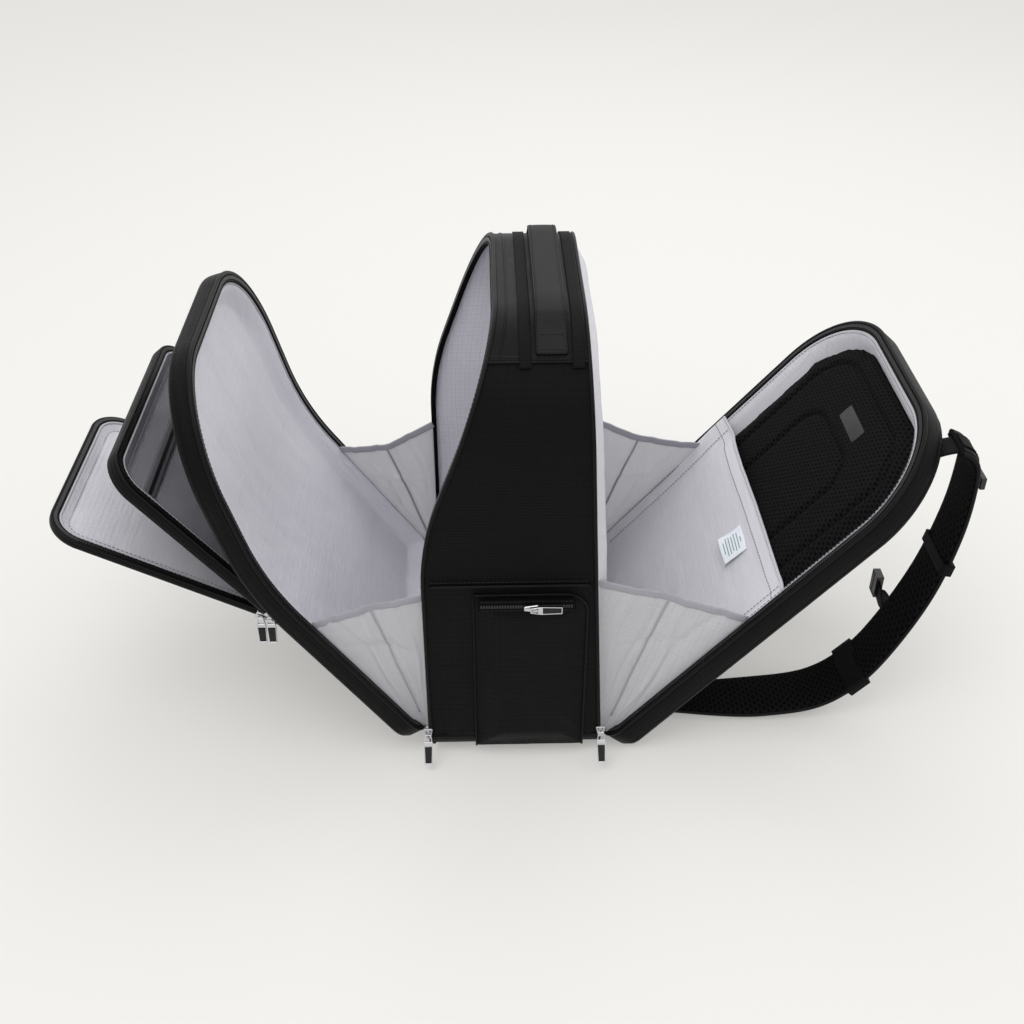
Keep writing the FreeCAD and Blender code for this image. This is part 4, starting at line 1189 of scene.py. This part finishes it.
def bake(made):
    """Apply every modifier of a piece to its mesh."""
    bpy.context.view_layer.update()
    live = made.evaluated_get(bpy.context.evaluated_depsgraph_get())
    data = bpy.data.meshes.new_from_object(live)
    made.modifiers.clear()
    made.data = data
    data.name = made.name


def refine(made):
    """One subdivision, applied."""
    fine = made.modifiers.new("fine", "SUBSURF")
    fine.levels = 1
    fine.render_levels = 1
    bake(made)


def finish_pad(made, node):
    """Give a swollen pad one subdivision, a cloth map from its place in the shut leaf, and its finish."""
    refine(made)
    layer = made.data.uv_layers.new(name="cloth")
    for loop in made.data.loops:
        point = SHUT_REAR @ made.data.vertices[loop.vertex_index].co
        layer.data[loop.index].uv = (point.y, point.z)
    made.data.materials.clear()
    made.data.materials.append(AIR_MESH)
    for polygon in made.data.polygons:
        polygon.use_smooth = True
    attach(made, "rear_panel")
    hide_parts(node)
    print(made.name, len(made.data.vertices), "points")


# %% Air mesh wall with two quilted channels
PAD_LOW, PAD_HIGH = 39 * MM, HEIGHT - 16 * MM
PAD_HALF, PAD_R = HALF - 16 * MM, TOP_R - 16 * MM
SHUT_REAR = OPEN_REAR.inverted()
OUT_OF_REAR = (OPEN_REAR.to_3x3() @ Vector((1, 0, 0))).normalized()
wall_form = rounded_slab(spot_rear, PAD_HALF, PAD_LOW, PAD_HIGH, PAD_R, 13.5 * MM, 22.0 * MM)
wall_pad = inflate("air_mesh_wall", wall_form, 5 * MM)


def channel(y, z, half, low, high, radius):
    """Distance from a point to a rounded rectangle's outline."""
    cy, cz = max(abs(y) - (half - radius), 0.0), max(abs(z - (low + high) / 2)
                                                     - ((high - low) / 2 - radius), 0.0)
    inside = min(max(abs(y) - (half - radius),
                     abs(z - (low + high) / 2) - ((high - low) / 2 - radius)), 0.0)
    return abs(math.hypot(cy, cz) + inside - radius)


def press_channels(made):
    """Push two quilted channels into the face of the wall."""
    for vert in made.data.vertices:
        spot = SHUT_REAR @ vert.co
        if spot.x > rear_hinge.x + 19 * MM:
            continue
        near = min(channel(spot.y, spot.z, 108 * MM, 150 * MM, 404 * MM, 50 * MM),
                   channel(spot.y, spot.z, 62 * MM, 200 * MM, 352 * MM, 30 * MM))
        vert.co += OUT_OF_REAR * 3.6 * MM * math.exp(-(near / (3.2 * MM)) ** 2)


refine(wall_pad)
press_channels(wall_pad)
finish_pad(wall_pad, "air_mesh_pad")
badge_mesh = rounded_slab(spot_rear, 25 * MM, 367 * MM, 383 * MM, 2 * MM, 8.2 * MM, 14 * MM, -6 * MM)
soften(badge_mesh, badge_mesh.edges, 0.5 * MM, 2)
piece_from(badge_mesh, "blank_badge", BADGE, "rear_panel")

# %% Laptop sleeve
sleeve_low, sleeve_high = 20 * MM, 250 * MM
SLEEVE_REST = 7.4 * MM


def sleeve_depth(y, z):
    m = min(rear_leaf.margin(y, z), sleeve_high - z + 30 * MM) - 6 * MM
    slack = ease((sleeve_high - z) / (150 * MM))
    near_fold = 3.0 * MM * math.exp(-((y + 128 * MM) / (7 * MM)) ** 2) * ease((z - 60 * MM) / (80 * MM))
    far_fold = 2.0 * MM * math.exp(-((y - 120 * MM) / (9 * MM)) ** 2)
    belly = 5.5 * MM * math.cos(y / HALF * math.pi / 2) * (1 - 0.5 * slack)
    wave = uneven(y, z, 51.0, 2.2 * MM, 85 * MM, 0.6 * MM) * ease(m / (18 * MM))
    stand = 6.0 * MM * ease((z - 120 * MM) / (120 * MM)) * ease((y + 40 * MM) / (150 * MM))
    fall = 3.0 * MM + 6.0 * MM * ease(m / (26 * MM)) - belly * ease(m / (40 * MM))
    deep = fall - stand + near_fold + far_fold + wave
    return SLEEVE_REST - 1.2 * MM * math.log(1 + math.exp((SLEEVE_REST - deep) / (1.2 * MM)))


sleeve = panel("laptop_sleeve_cloth", rear_leaf, sleeve_depth, LIGHT_LINING, "lining_fabric",
               inset=7.5 * MM,
               columns=96, rows=80, top=sleeve_high, bottom=sleeve_low, thick=1.1 * MM)
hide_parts("laptop_sleeve")
declare_sheet(sleeve)


def sleeve_line(z, y_from, y_to, out=0.0):
    """A line across the sleeve at one height, and the way out of the sleeve."""
    path = []
    for k in range(81):
        y = y_from + (y_to - y_from) * k / 80
        path.append(spot_rear(y, z, sleeve_depth(y, z) - out))
    return path, [-OUT_OF_REAR] * 81


edge_y = HALF - 8.5 * MM
path, ups = sleeve_line(sleeve_high, -edge_y, edge_y)
hem = sweep("sleeve_hem", path, ups, circle(1.7 * MM), PALE_BINDING, "rear_panel", "lining_fabric")
path, ups = sleeve_line(sleeve_high - 13 * MM, -edge_y, edge_y, 0.9 * MM)
seams = [stitch_row("sleeve_hem_stitches", path, ups, "rear_panel", GREY_THREAD)]
way = -OUT_OF_REAR
for tag, y in (("near", -134 * MM), ("far", 134 * MM)):
    heights = [sleeve_low + 30 * MM + (sleeve_high - sleeve_low - 32 * MM) * k / 60 for k in range(61)]
    path = [spot_rear(y, z, sleeve_depth(y, z) - 0.9 * MM) for z in heights]
    seams.append(stitch_row("sleeve_side_stitches_" + tag, path, [way] * 61, "rear_panel", GREY_THREAD))

# %% Care label with plain printed bars
LABEL_W, LABEL_L = 40 * MM, 28 * MM
label_y, label_z = -39 * MM, 213 * MM


def label_place(u, v):
    y, z = label_y + (u - 0.5) * LABEL_W, label_z + (v - 0.5) * LABEL_L
    lift = 1.6 * MM + 3.0 * MM * (1 - v) ** 2 + 0.8 * MM * math.sin(2.6 * u + 3 * v)
    return spot_rear(y, z, sleeve_depth(y, z) - lift)


label = cloth("care_label", 16, 20, label_place, (LABEL_W, LABEL_L),
              LABEL, "rear_panel", "lining_fabric", 0.4 * MM)
declare_sheet(label)
bars = bmesh.new()
for row, wide in enumerate((0.2, 0.62, 0.7, 0.58, 0.66, 0.7, 0.44)):
    bmesh.ops.create_grid(bars, x_segments=6, y_segments=1, size=0.5, matrix=Matrix.Translation(
        (0.5, 0.86 - 0.115 * row, 0)) @ Matrix.Diagonal((wide, 0.035, 1, 1)))
for vert in bars.verts:
    vert.co = label_place(vert.co.x, vert.co.y) + way * 0.35 * MM
ink = piece_from(bars, "care_label_print", INK, "rear_panel")
for soft in [sleeve, label, ink, hem] + seams:
    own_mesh(soft)
print("sleeve, label, pad and badge")

# %% [markdown]
# ## Gussets
# A gusset is a fan of thin cloth that stops a panel from falling further open. It is creased down its
# middle so that it folds inwards when the bag shuts. It is built once in the open pose, between the body's
# edge and the open panel's edge, and rides on no body, so it does not turn with the fold.

# %% Gusset fans
def gusset(name, node, corners, crease):
    """corners are body low, body high, panel high, panel low, as (x, z); crease is how deep the fold
    stands in."""
    low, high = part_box(node)
    y0 = (low.y + high.y) / 2
    inwards = 1 if y0 < 0 else -1
    a, b, c, d = [Vector((x, 0, z)) for x, z in corners]

    def place(u, v):
        point = a.lerp(b, v).lerp(d.lerp(c, v), u)
        fold = crease * (1 - abs(2 * u - 1)) * (0.25 + 0.75 * v)
        second = 1.8 * MM * math.exp(-((v - 0.55 - 0.25 * u) / 0.03) ** 2) * math.sin(math.pi * u)
        wave = uneven(point.x, point.z, 61.0 + y0, 2.6 * MM, 45 * MM, 0.6 * MM) * math.sin(math.pi * u)
        for at, height in ((0.22, -1.6 * MM), (0.38, 1.3 * MM), (0.68, -1.4 * MM), (0.84, 1.5 * MM)):
            second += (height * math.exp(-((u - at - 0.08 * math.sin(5 * v + at * 9)) / 0.03) ** 2)
                       * ease(v / 0.5))
        sag = 5 * MM * math.sin(math.pi * u) * ease((v - 0.6) / 0.4)
        return Vector((point.x, y0 + inwards * (fold + second + wave), point.z - sag))

    low_wide, high_wide, long = (d - a).length, (c - b).length, (b - a).length

    def flat(u, v):
        return (u - 0.5) * (low_wide + (high_wide - low_wide) * v), v * long

    made = cloth(name, 48, 56, place, flat, GUSSET_CLOTH, None, "gusset_fabric", 0.6 * MM)
    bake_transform(made)
    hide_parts(node)
    declare_sheet(made)
    path = [place(k / 40, 1.0) for k in range(41)]
    edge = sweep(name + "_binding", path, [Vector((0, -inwards, 0))] * 41,
                 flat_section(7 * MM, 1.6 * MM, 0.3 * MM), BINDING, None, "gusset_fabric")
    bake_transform(edge)
    path = [place(0.5, 0.12 + 0.88 * k / 40) for k in range(41)]
    seam = sweep(name + "_seam", path, [Vector((0, -inwards, 0))] * 41,
                 flat_section(2.4 * MM, 1.2 * MM, 0.2 * MM, 4), BINDING, None, "gusset_fabric")
    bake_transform(seam)


front_reach, rear_reach = 0.39 * HEIGHT, 0.465 * HEIGHT
front_low = front_hinge.z + 6 * MM


def shut_xz(matrix, x, z):
    point = matrix @ Vector((x, 0, z))
    return point.x, point.z


for tag in ("near", "far"):
    front_lip = FRONT_X - ZIP_GAP - 1.5 * MM
    gusset("front_gusset_cloth_" + tag, "front_gusset_" + tag,
           [(FRONT_X + 1 * MM, front_low), (FRONT_X + 1 * MM, front_hinge.z + front_reach),
            shut_xz(OPEN_FRONT, front_lip, front_hinge.z + front_reach),
            shut_xz(OPEN_FRONT, front_lip, front_low + 2 * MM)], 12 * MM)
    rear_lip = rear_hinge.x + 1.5 * MM
    gusset("rear_gusset_cloth_" + tag, "rear_gusset_" + tag,
           [(BACK_X - 1 * MM, 16 * MM), (back_edge(rear_reach) - 1 * MM, rear_reach),
            shut_xz(OPEN_REAR, rear_lip, rear_reach), shut_xz(OPEN_REAR, rear_lip, 16 * MM)], 12 * MM)
print("four gussets")

# %% [markdown]
# ## Back cushions and shoulder straps
# Two cushions of air mesh sit on the outside of the rear panel. The shoulder straps hang from its top on
# short webbing and run back to its foot. A padded strap is a crowned band of foam with a smooth face, air
# mesh underneath, a bound edge and a line of webbing stitched down its middle.

# %% Back cushions
for tag, side in (("near", -1), ("far", 1)):
    form = rounded_slab(spot_rear, 54 * MM, 61 * MM, 385 * MM, 26 * MM, 28.4 * MM, 34.5 * MM,
                        side * 76.8 * MM)
    cushion = inflate("back_cushion_" + tag, form, 4 * MM)
    for vert in cushion.data.vertices:
        spot = SHUT_REAR @ vert.co
        if spot.x < rear_hinge.x + 31 * MM:
            continue
        near = min(abs(spot.z - line) for line in (140 * MM, 222 * MM, 305 * MM))
        vert.co -= OUT_OF_REAR * 3.2 * MM * math.exp(-(near / (5 * MM)) ** 2)
    finish_pad(cushion, "back_pad_" + tag)

# %% Routes of the straps
def through(points, steps=14):
    """A smooth line that passes through the points of a route."""
    route, last = [], len(points) - 1
    for index in range(last):
        a, b = points[max(index - 1, 0)], points[index]
        c, d = points[index + 1], points[min(index + 2, last)]
        for k in range(steps + (index == last - 1)):
            t = k / steps
            route.append(0.5 * (2 * b + (c - a) * t + (2 * a - 5 * b + 4 * c - d) * t * t
                                + (3 * b - a - 3 * c + d) * t ** 3))
    return route


reach = spot_rear(0, HEIGHT, REAR_DEPTH)
STRAP_THICK = 10 * MM
STRAP_REST = STRAP_THICK / 2 + 1 * MM
STRAP_RUN = {
    "near": [(1.022, 0.978), (1.062, 0.953), (1.078, 0.891), (1.072, 0.713), (1.026, 0.488), (0.939, 0.269),
             (0.850, 0.128), (0.728, 0.037), (0.552, 0.0047), (0.357, 0.0003), (0.212, 0.0041)],
    "far": [(0.995, 0.905), (0.992, 0.855), (0.970, 0.745), (0.915, 0.570), (0.842, 0.372), (0.755, 0.193),
            (0.655, 0.070), (0.530, 0.0120), (0.430, 0.0020), (0.320, 0.0003), (0.212, 0.0041)]}


def strap_points(tag, y):
    """The strap's middle line, from shares of the open panel's reach and height."""
    return [Vector((rear_hinge.x + x * (reach.x - rear_hinge.x), y,
                    STRAP_REST + z * (reach.z - STRAP_REST))) for x, z in STRAP_RUN[tag]]


def outward(path):
    """The way out of a strap at each of its points, in the plane it hangs in."""
    ups = []
    for index in range(len(path)):
        before, after = path[max(index - 1, 0)], path[min(index + 1, len(path) - 1)]
        run = (after - before).normalized()
        ups.append(Vector((-run.z, 0, run.x)))
    return ups


def shoulder_strap(tag):
    low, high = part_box("shoulder_strap_" + tag)
    wide = high.y - low.y - 2 * MM
    y = (low.y + high.y) / 2
    path = through(strap_points(tag, y))
    ups = outward(path)
    last = len(path) - 1

    def foam(share):
        taper = 0.74 + 0.26 * ease(share / 0.45) - 0.34 * ease((share - 0.80) / 0.20)
        thick = STRAP_THICK * (0.64 - 0.26 * ease((share - 0.9) / 0.1))
        return [(s, u - 0.8 * MM) for s, u in flat_section(wide * taper, thick, 1.2 * MM, 12)]

    strap = sweep("padded_strap_" + tag, path, ups, foam, AIR_MESH, "rear_panel", "air_mesh")
    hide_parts("shoulder_strap_" + tag)

    def cover(share):
        half = flat_wide(foam(share)) / 2 + 0.3 * MM
        return [(x * half, 1.7 * MM + 1.5 * MM * (1 - abs(x) ** 3))
                for x in [-1 + 2 * k / 12 for k in range(13)]]

    face = sweep("strap_face_" + tag, path, ups, cover, TOP_CLOTH, "rear_panel", "smooth_fabric", False)
    wall = face.modifiers.new("thickness", "SOLIDIFY")
    wall.thickness, wall.offset = 0.8 * MM, 0.0
    for side in (-1, 1):
        edge = [p + Vector((0, side * flat_wide(foam(k / last)) / 2, 0)) for k, p in enumerate(path)]
        sweep("strap_edge_%s_%d" % (tag, side > 0), edge, ups, circle(2.3 * MM),
              PIPING, "rear_panel", "webbing")
    line = [p + u * 3.9 * MM for p, u in zip(path, ups)]
    sweep("strap_line_" + tag, line, ups, flat_section(22 * MM, 1.0 * MM, 0.1 * MM),
          WEBBING, "rear_panel", "webbing")
    for side in (-1, 1):
        row = [p + u * 0.6 * MM + Vector((0, side * 9 * MM, 0)) for p, u in zip(line, ups)]
        stitch_row("strap_stitches_%s_%d" % (tag, side > 0), row, ups, "rear_panel")
    return path, ups, y, foam


def flat_wide(section):
    sides = [point[0] for point in section]
    return max(sides) - min(sides)


strap_paths = {tag: shoulder_strap(tag) for tag in ("near", "far")}
near_route = strap_paths["near"][0]
print("straps", round(sum((b - a).length for a, b in zip(near_route, near_route[1:])), 3), "m")


# %% Keepers, webbing and ladder locks
def keeper(tag, name, share, long):
    """A band that goes right round the strap."""
    path, ups, _, foam = strap_paths[tag]
    index = round(share * (len(path) - 1))
    section = foam(share)
    grown = [(s * (1 + 7 * MM / flat_wide(section)), 5.3 * MM if u > -0.8 * MM else -5.6 * MM)
             for s, u in section]
    run = (path[index + 1] - path[index]).normalized()
    count = 6
    line = [path[index] + run * long * (k / count - 0.5) for k in range(count + 1)]
    sweep(name + "_" + tag, line, [ups[index]] * (count + 1), grown, WEBBING, "rear_panel", "webbing")


def strap_end(points, y, name):
    """A short length of webbing through points (x, z) at one Y."""
    path = through([Vector((x, y, z)) for x, z in points], 10)
    return sweep(name, path, outward(path), flat_section(25 * MM, 1.6 * MM),
                 WEBBING, "rear_panel", "webbing")


for tag in ("near", "far"):
    path, _, y, _ = strap_paths[tag]
    keeper(tag, "strap_keeper_low", 0.60, 24 * MM)
    keeper(tag, "strap_keeper_mid", 0.36, 12 * MM)
    top = spot_rear(y, 0.93 * HEIGHT, REAR_DEPTH - 1 * MM)
    first = path[0]
    if tag == "near":
        points = [(top.x, top.z), (top.x + 10 * MM, top.z + 9 * MM), (first.x - 2 * MM, first.z - 3 * MM),
                  (first.x + 3 * MM, first.z - 3 * MM)]
    else:
        raised = first + Vector((-2 * MM, 0, 9 * MM))
        points = [(top.x, top.z), (top.x + 8 * MM, top.z + 2.5 * MM), (raised.x, raised.z - 3 * MM),
                  (first.x, first.z - 2 * MM)]
    upper = strap_end(points, y, "upper_webbing_" + tag)
    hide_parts("strap_webbing_" + tag)
    low = spot_rear(y, 0.09 * HEIGHT, REAR_DEPTH - 1 * MM)
    last = path[-1]
    strap_end([(low.x, low.z), (low.x + 8 * MM, low.z - 1 * MM), (last.x - 8 * MM, last.z + 1.5 * MM),
               (last.x + 4 * MM, last.z + 0.5 * MM)], y, "lower_webbing_" + tag)


def ladder_lock(tag):
    """A frame with a crossbar: a plate with two slots through it, thickened and bevelled."""
    low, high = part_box("ladder_lock_" + tag)
    middle, size = (low + high) / 2, high - low
    mesh = bmesh.new()
    bmesh.ops.create_grid(mesh, x_segments=1, y_segments=2, size=0.5, matrix=Matrix.Translation(middle)
                          @ Matrix(((0, 0, 1), (1, 0, 0), (0, 1, 0))).to_4x4()
                          @ Matrix.Diagonal((size.y, size.z, 1, 1)))
    slots = list(mesh.faces)
    bmesh.ops.inset_individual(mesh, faces=slots, thickness=2.0 * MM)
    bmesh.ops.delete(mesh, geom=slots, context="FACES_ONLY")
    bmesh.ops.solidify(mesh, geom=list(mesh.faces), thickness=size.x)
    centre = sum((v.co for v in mesh.verts), Vector()) / len(mesh.verts)
    bmesh.ops.translate(mesh, vec=(middle.x - centre.x, 0, 0), verts=mesh.verts)
    soften(mesh, sharp_edges(mesh), 0.6 * MM, 2, True)
    bmesh.ops.recalc_face_normals(mesh, faces=mesh.faces)
    made = piece_from(mesh, "ladder_lock_frame_" + tag, PLASTIC, "rear_panel", False)
    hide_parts("ladder_lock_" + tag)


ladder_lock("near")
ladder_lock("far")

# %% Chest strap
def sternum(tag):
    low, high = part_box("sternum_webbing_" + tag)
    buckle_low, buckle_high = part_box("sternum_buckle_" + tag)
    x, z = (low.x + high.x) / 2, (low.z + high.z) / 2
    side = 1 if tag == "near" else -1
    start_y = low.y - 8 * MM if tag == "near" else high.y + 8 * MM
    end_y = (buckle_low.y + buckle_high.y) / 2
    points = [Vector((x + 1 * MM, start_y, z + 3 * MM)), Vector((x, start_y + side * 14 * MM, z + 1 * MM)),
              Vector((x - 1 * MM, (start_y + end_y) / 2, z - 3 * MM)), Vector((x, end_y, z))]
    path = through(points, 8)
    band = sweep("chest_webbing_" + tag, path, [Vector((1, 0, 0))] * len(path),
                 flat_section(19 * MM, 1.6 * MM), WEBBING, "rear_panel", "webbing")
    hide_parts("sternum_webbing_" + tag)
    middle, size = (buckle_low + buckle_high) / 2, buckle_high - buckle_low
    mesh = bmesh.new()
    bmesh.ops.create_cube(mesh, size=1.0, matrix=Matrix.Translation(middle) @ Matrix.Diagonal((*size, 1)))
    ends = [f for f in mesh.faces if f.normal.y * side > 0.9]
    bmesh.ops.inset_individual(mesh, faces=ends, thickness=1.6 * MM)
    grown = bmesh.ops.extrude_face_region(mesh, geom=ends)
    bmesh.ops.translate(mesh, vec=(0, -side * 7 * MM, 0), verts=[g for g in grown["geom"]
                                                                if isinstance(g, bmesh.types.BMVert)])
    bmesh.ops.delete(mesh, geom=ends, context="FACES_ONLY")
    broad = [f for f in mesh.faces if abs(f.normal.x) > 0.9]
    bmesh.ops.inset_individual(mesh, faces=broad, thickness=3.0 * MM, depth=-0.9 * MM)
    soften(mesh, sharp_edges(mesh), 0.9 * MM, 3, True)
    bmesh.ops.recalc_face_normals(mesh, faces=mesh.faces)
    made = piece_from(mesh, "chest_buckle_shell_" + tag, PLASTIC, "rear_panel", False)
    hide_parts("sternum_buckle_" + tag)


sternum("near")
sternum("far")
print("keepers, webbing, locks and chest strap")

# %% [markdown]
# ## Zip sliders and pulls
# A slider is a small plated body with a bridge on top, and its pull hangs from the bridge: a plated frame
# round a grained insert. Each one rides on its own body, so it can run along its zip and swing.

# %% Sliders and pulls
SLIDERS = [name for name in frame["bodies"] if name.endswith("_slider")]


def joint_way(prefix, kind):
    return Vector(joints[prefix + kind]["axis"]).normalized()


def slider(prefix):
    """Body with narrowed nose and a bridge over it."""
    node = frame["nodes"][prefix + "_slider"]
    points = [node.matrix_world @ v.co for v in node.data.vertices]
    middle = sum(points, Vector()) / len(points)
    along = joint_way(prefix, "_zip_run")
    side = 1 if middle.y > 0 else -1
    out = Vector((0, side, 0))
    across = along.cross(out).normalized()
    basis = Matrix((across, along, out)).transposed().to_4x4()
    reach_along = max((p - middle).dot(along) for p in points)
    reach_across = max((p - middle).dot(across) for p in points)
    reach_out = max((p - middle).dot(out) for p in points)
    place = Matrix.Translation(middle) @ basis
    mesh = bmesh.new()
    bmesh.ops.create_cube(mesh, size=1.0, matrix=Matrix.Diagonal((2 * reach_across, 2 * reach_along,
                                                                  1.5 * reach_out, 1)))
    bmesh.ops.translate(mesh, vec=(0, 0, -0.25 * reach_out), verts=mesh.verts)
    for vert in mesh.verts:
        if vert.co.y < 0:
            vert.co.x *= 0.55
    soften(mesh, mesh.edges, 0.9 * MM, 3)
    bridge = bmesh.new()
    bmesh.ops.create_cube(bridge, size=1.0, matrix=Matrix.Translation((0, 0, 0.75 * reach_out))
                          @ Matrix.Diagonal(
        (2.4 * MM, 1.5 * reach_along, 0.5 * reach_out, 1)))
    soften(bridge, bridge.edges, 0.45 * MM, 3)
    extra = bpy.data.meshes.new("bridge")
    bridge.to_mesh(extra)
    bridge.free()
    mesh.from_mesh(extra)
    bpy.data.meshes.remove(extra)
    mesh.transform(place)
    bmesh.ops.recalc_face_normals(mesh, faces=mesh.faces)
    made = piece_from(mesh, prefix + "_slider_body", CHROME, prefix + "_slider", False)
    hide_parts(prefix + "_slider")


def pull(prefix):
    """A plated frame with a round eye, and an insert set into it."""
    node = frame["nodes"][prefix + "_pull"]
    points = [node.matrix_world @ v.co for v in node.data.vertices]
    pivot = Vector(joints[prefix + "_pull_swing"]["pos_m"])
    axis = joint_way(prefix, "_pull_swing")
    end = max(points, key=lambda p: (p - pivot).length)
    far = [p for p in points if (p - pivot).length > 0.93 * (end - pivot).length]
    hang = (sum(far, Vector()) / len(far) - pivot)
    hang = (hang - axis * hang.dot(axis)).normalized()
    thick_way = axis.cross(hang).normalized()
    long = max((p - pivot).dot(hang) for p in points)
    wide = 2 * max(abs((p - pivot).dot(axis)) for p in points)
    thick = 2 * max(abs((p - pivot).dot(thick_way)) for p in points if (p - pivot).dot(hang) > long / 2)
    place = Matrix.Translation(pivot) @ Matrix((axis, hang, thick_way)).transposed().to_4x4()
    mesh = bmesh.new()
    bmesh.ops.create_grid(mesh, x_segments=1, y_segments=3, size=0.5)
    rows = {-0.5: (0.0, 0.62), -0.5 + 1 / 3: (0.28, 0.94), -0.5 + 2 / 3: (0.36, 1.0), 0.5: (1.0, 0.86)}
    for vert in mesh.verts:
        key = min(rows, key=lambda k: abs(k - vert.co.y))
        share, width = rows[key]
        vert.co = Vector((math.copysign(wide / 2 * width, vert.co.x),
                          -1.0 * MM + (long + 1.0 * MM) * share, 0))
    faces = sorted(mesh.faces, key=lambda f: f.calc_center_median().y)
    bmesh.ops.inset_individual(mesh, faces=[faces[0]], thickness=1.6 * MM)
    bmesh.ops.inset_individual(mesh, faces=[faces[2]], thickness=1.5 * MM)
    bmesh.ops.delete(mesh, geom=[faces[0], faces[2]], context="FACES_ONLY")
    bmesh.ops.solidify(mesh, geom=list(mesh.faces), thickness=thick)
    bmesh.ops.translate(mesh, vec=(0, 0, -sum(v.co.z for v in mesh.verts) / len(mesh.verts)),
                        verts=mesh.verts)
    soften(mesh, sharp_edges(mesh), 0.55 * MM, 3, True)
    mesh.transform(place)
    bmesh.ops.recalc_face_normals(mesh, faces=mesh.faces)
    made = piece_from(mesh, prefix + "_pull_frame", CHROME, prefix + "_pull", False)
    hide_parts(prefix + "_pull")
    leather = bmesh.new()
    bmesh.ops.create_cube(leather, size=1.0, matrix=Matrix.Translation((0, long * 0.68, 0))
                          @ Matrix.Diagonal(
        (wide - 2.2 * MM, long * 0.56, thick * 0.8, 1)))
    soften(leather, leather.edges, 0.5 * MM, 2)
    leather.transform(place)
    piece_from(leather, prefix + "_pull_insert", INSERT, prefix + "_pull", False)


for name in SLIDERS:
    prefix = name.removesuffix("_slider")
    slider(prefix)
    pull(prefix)
print(len(SLIDERS), "sliders and pulls")
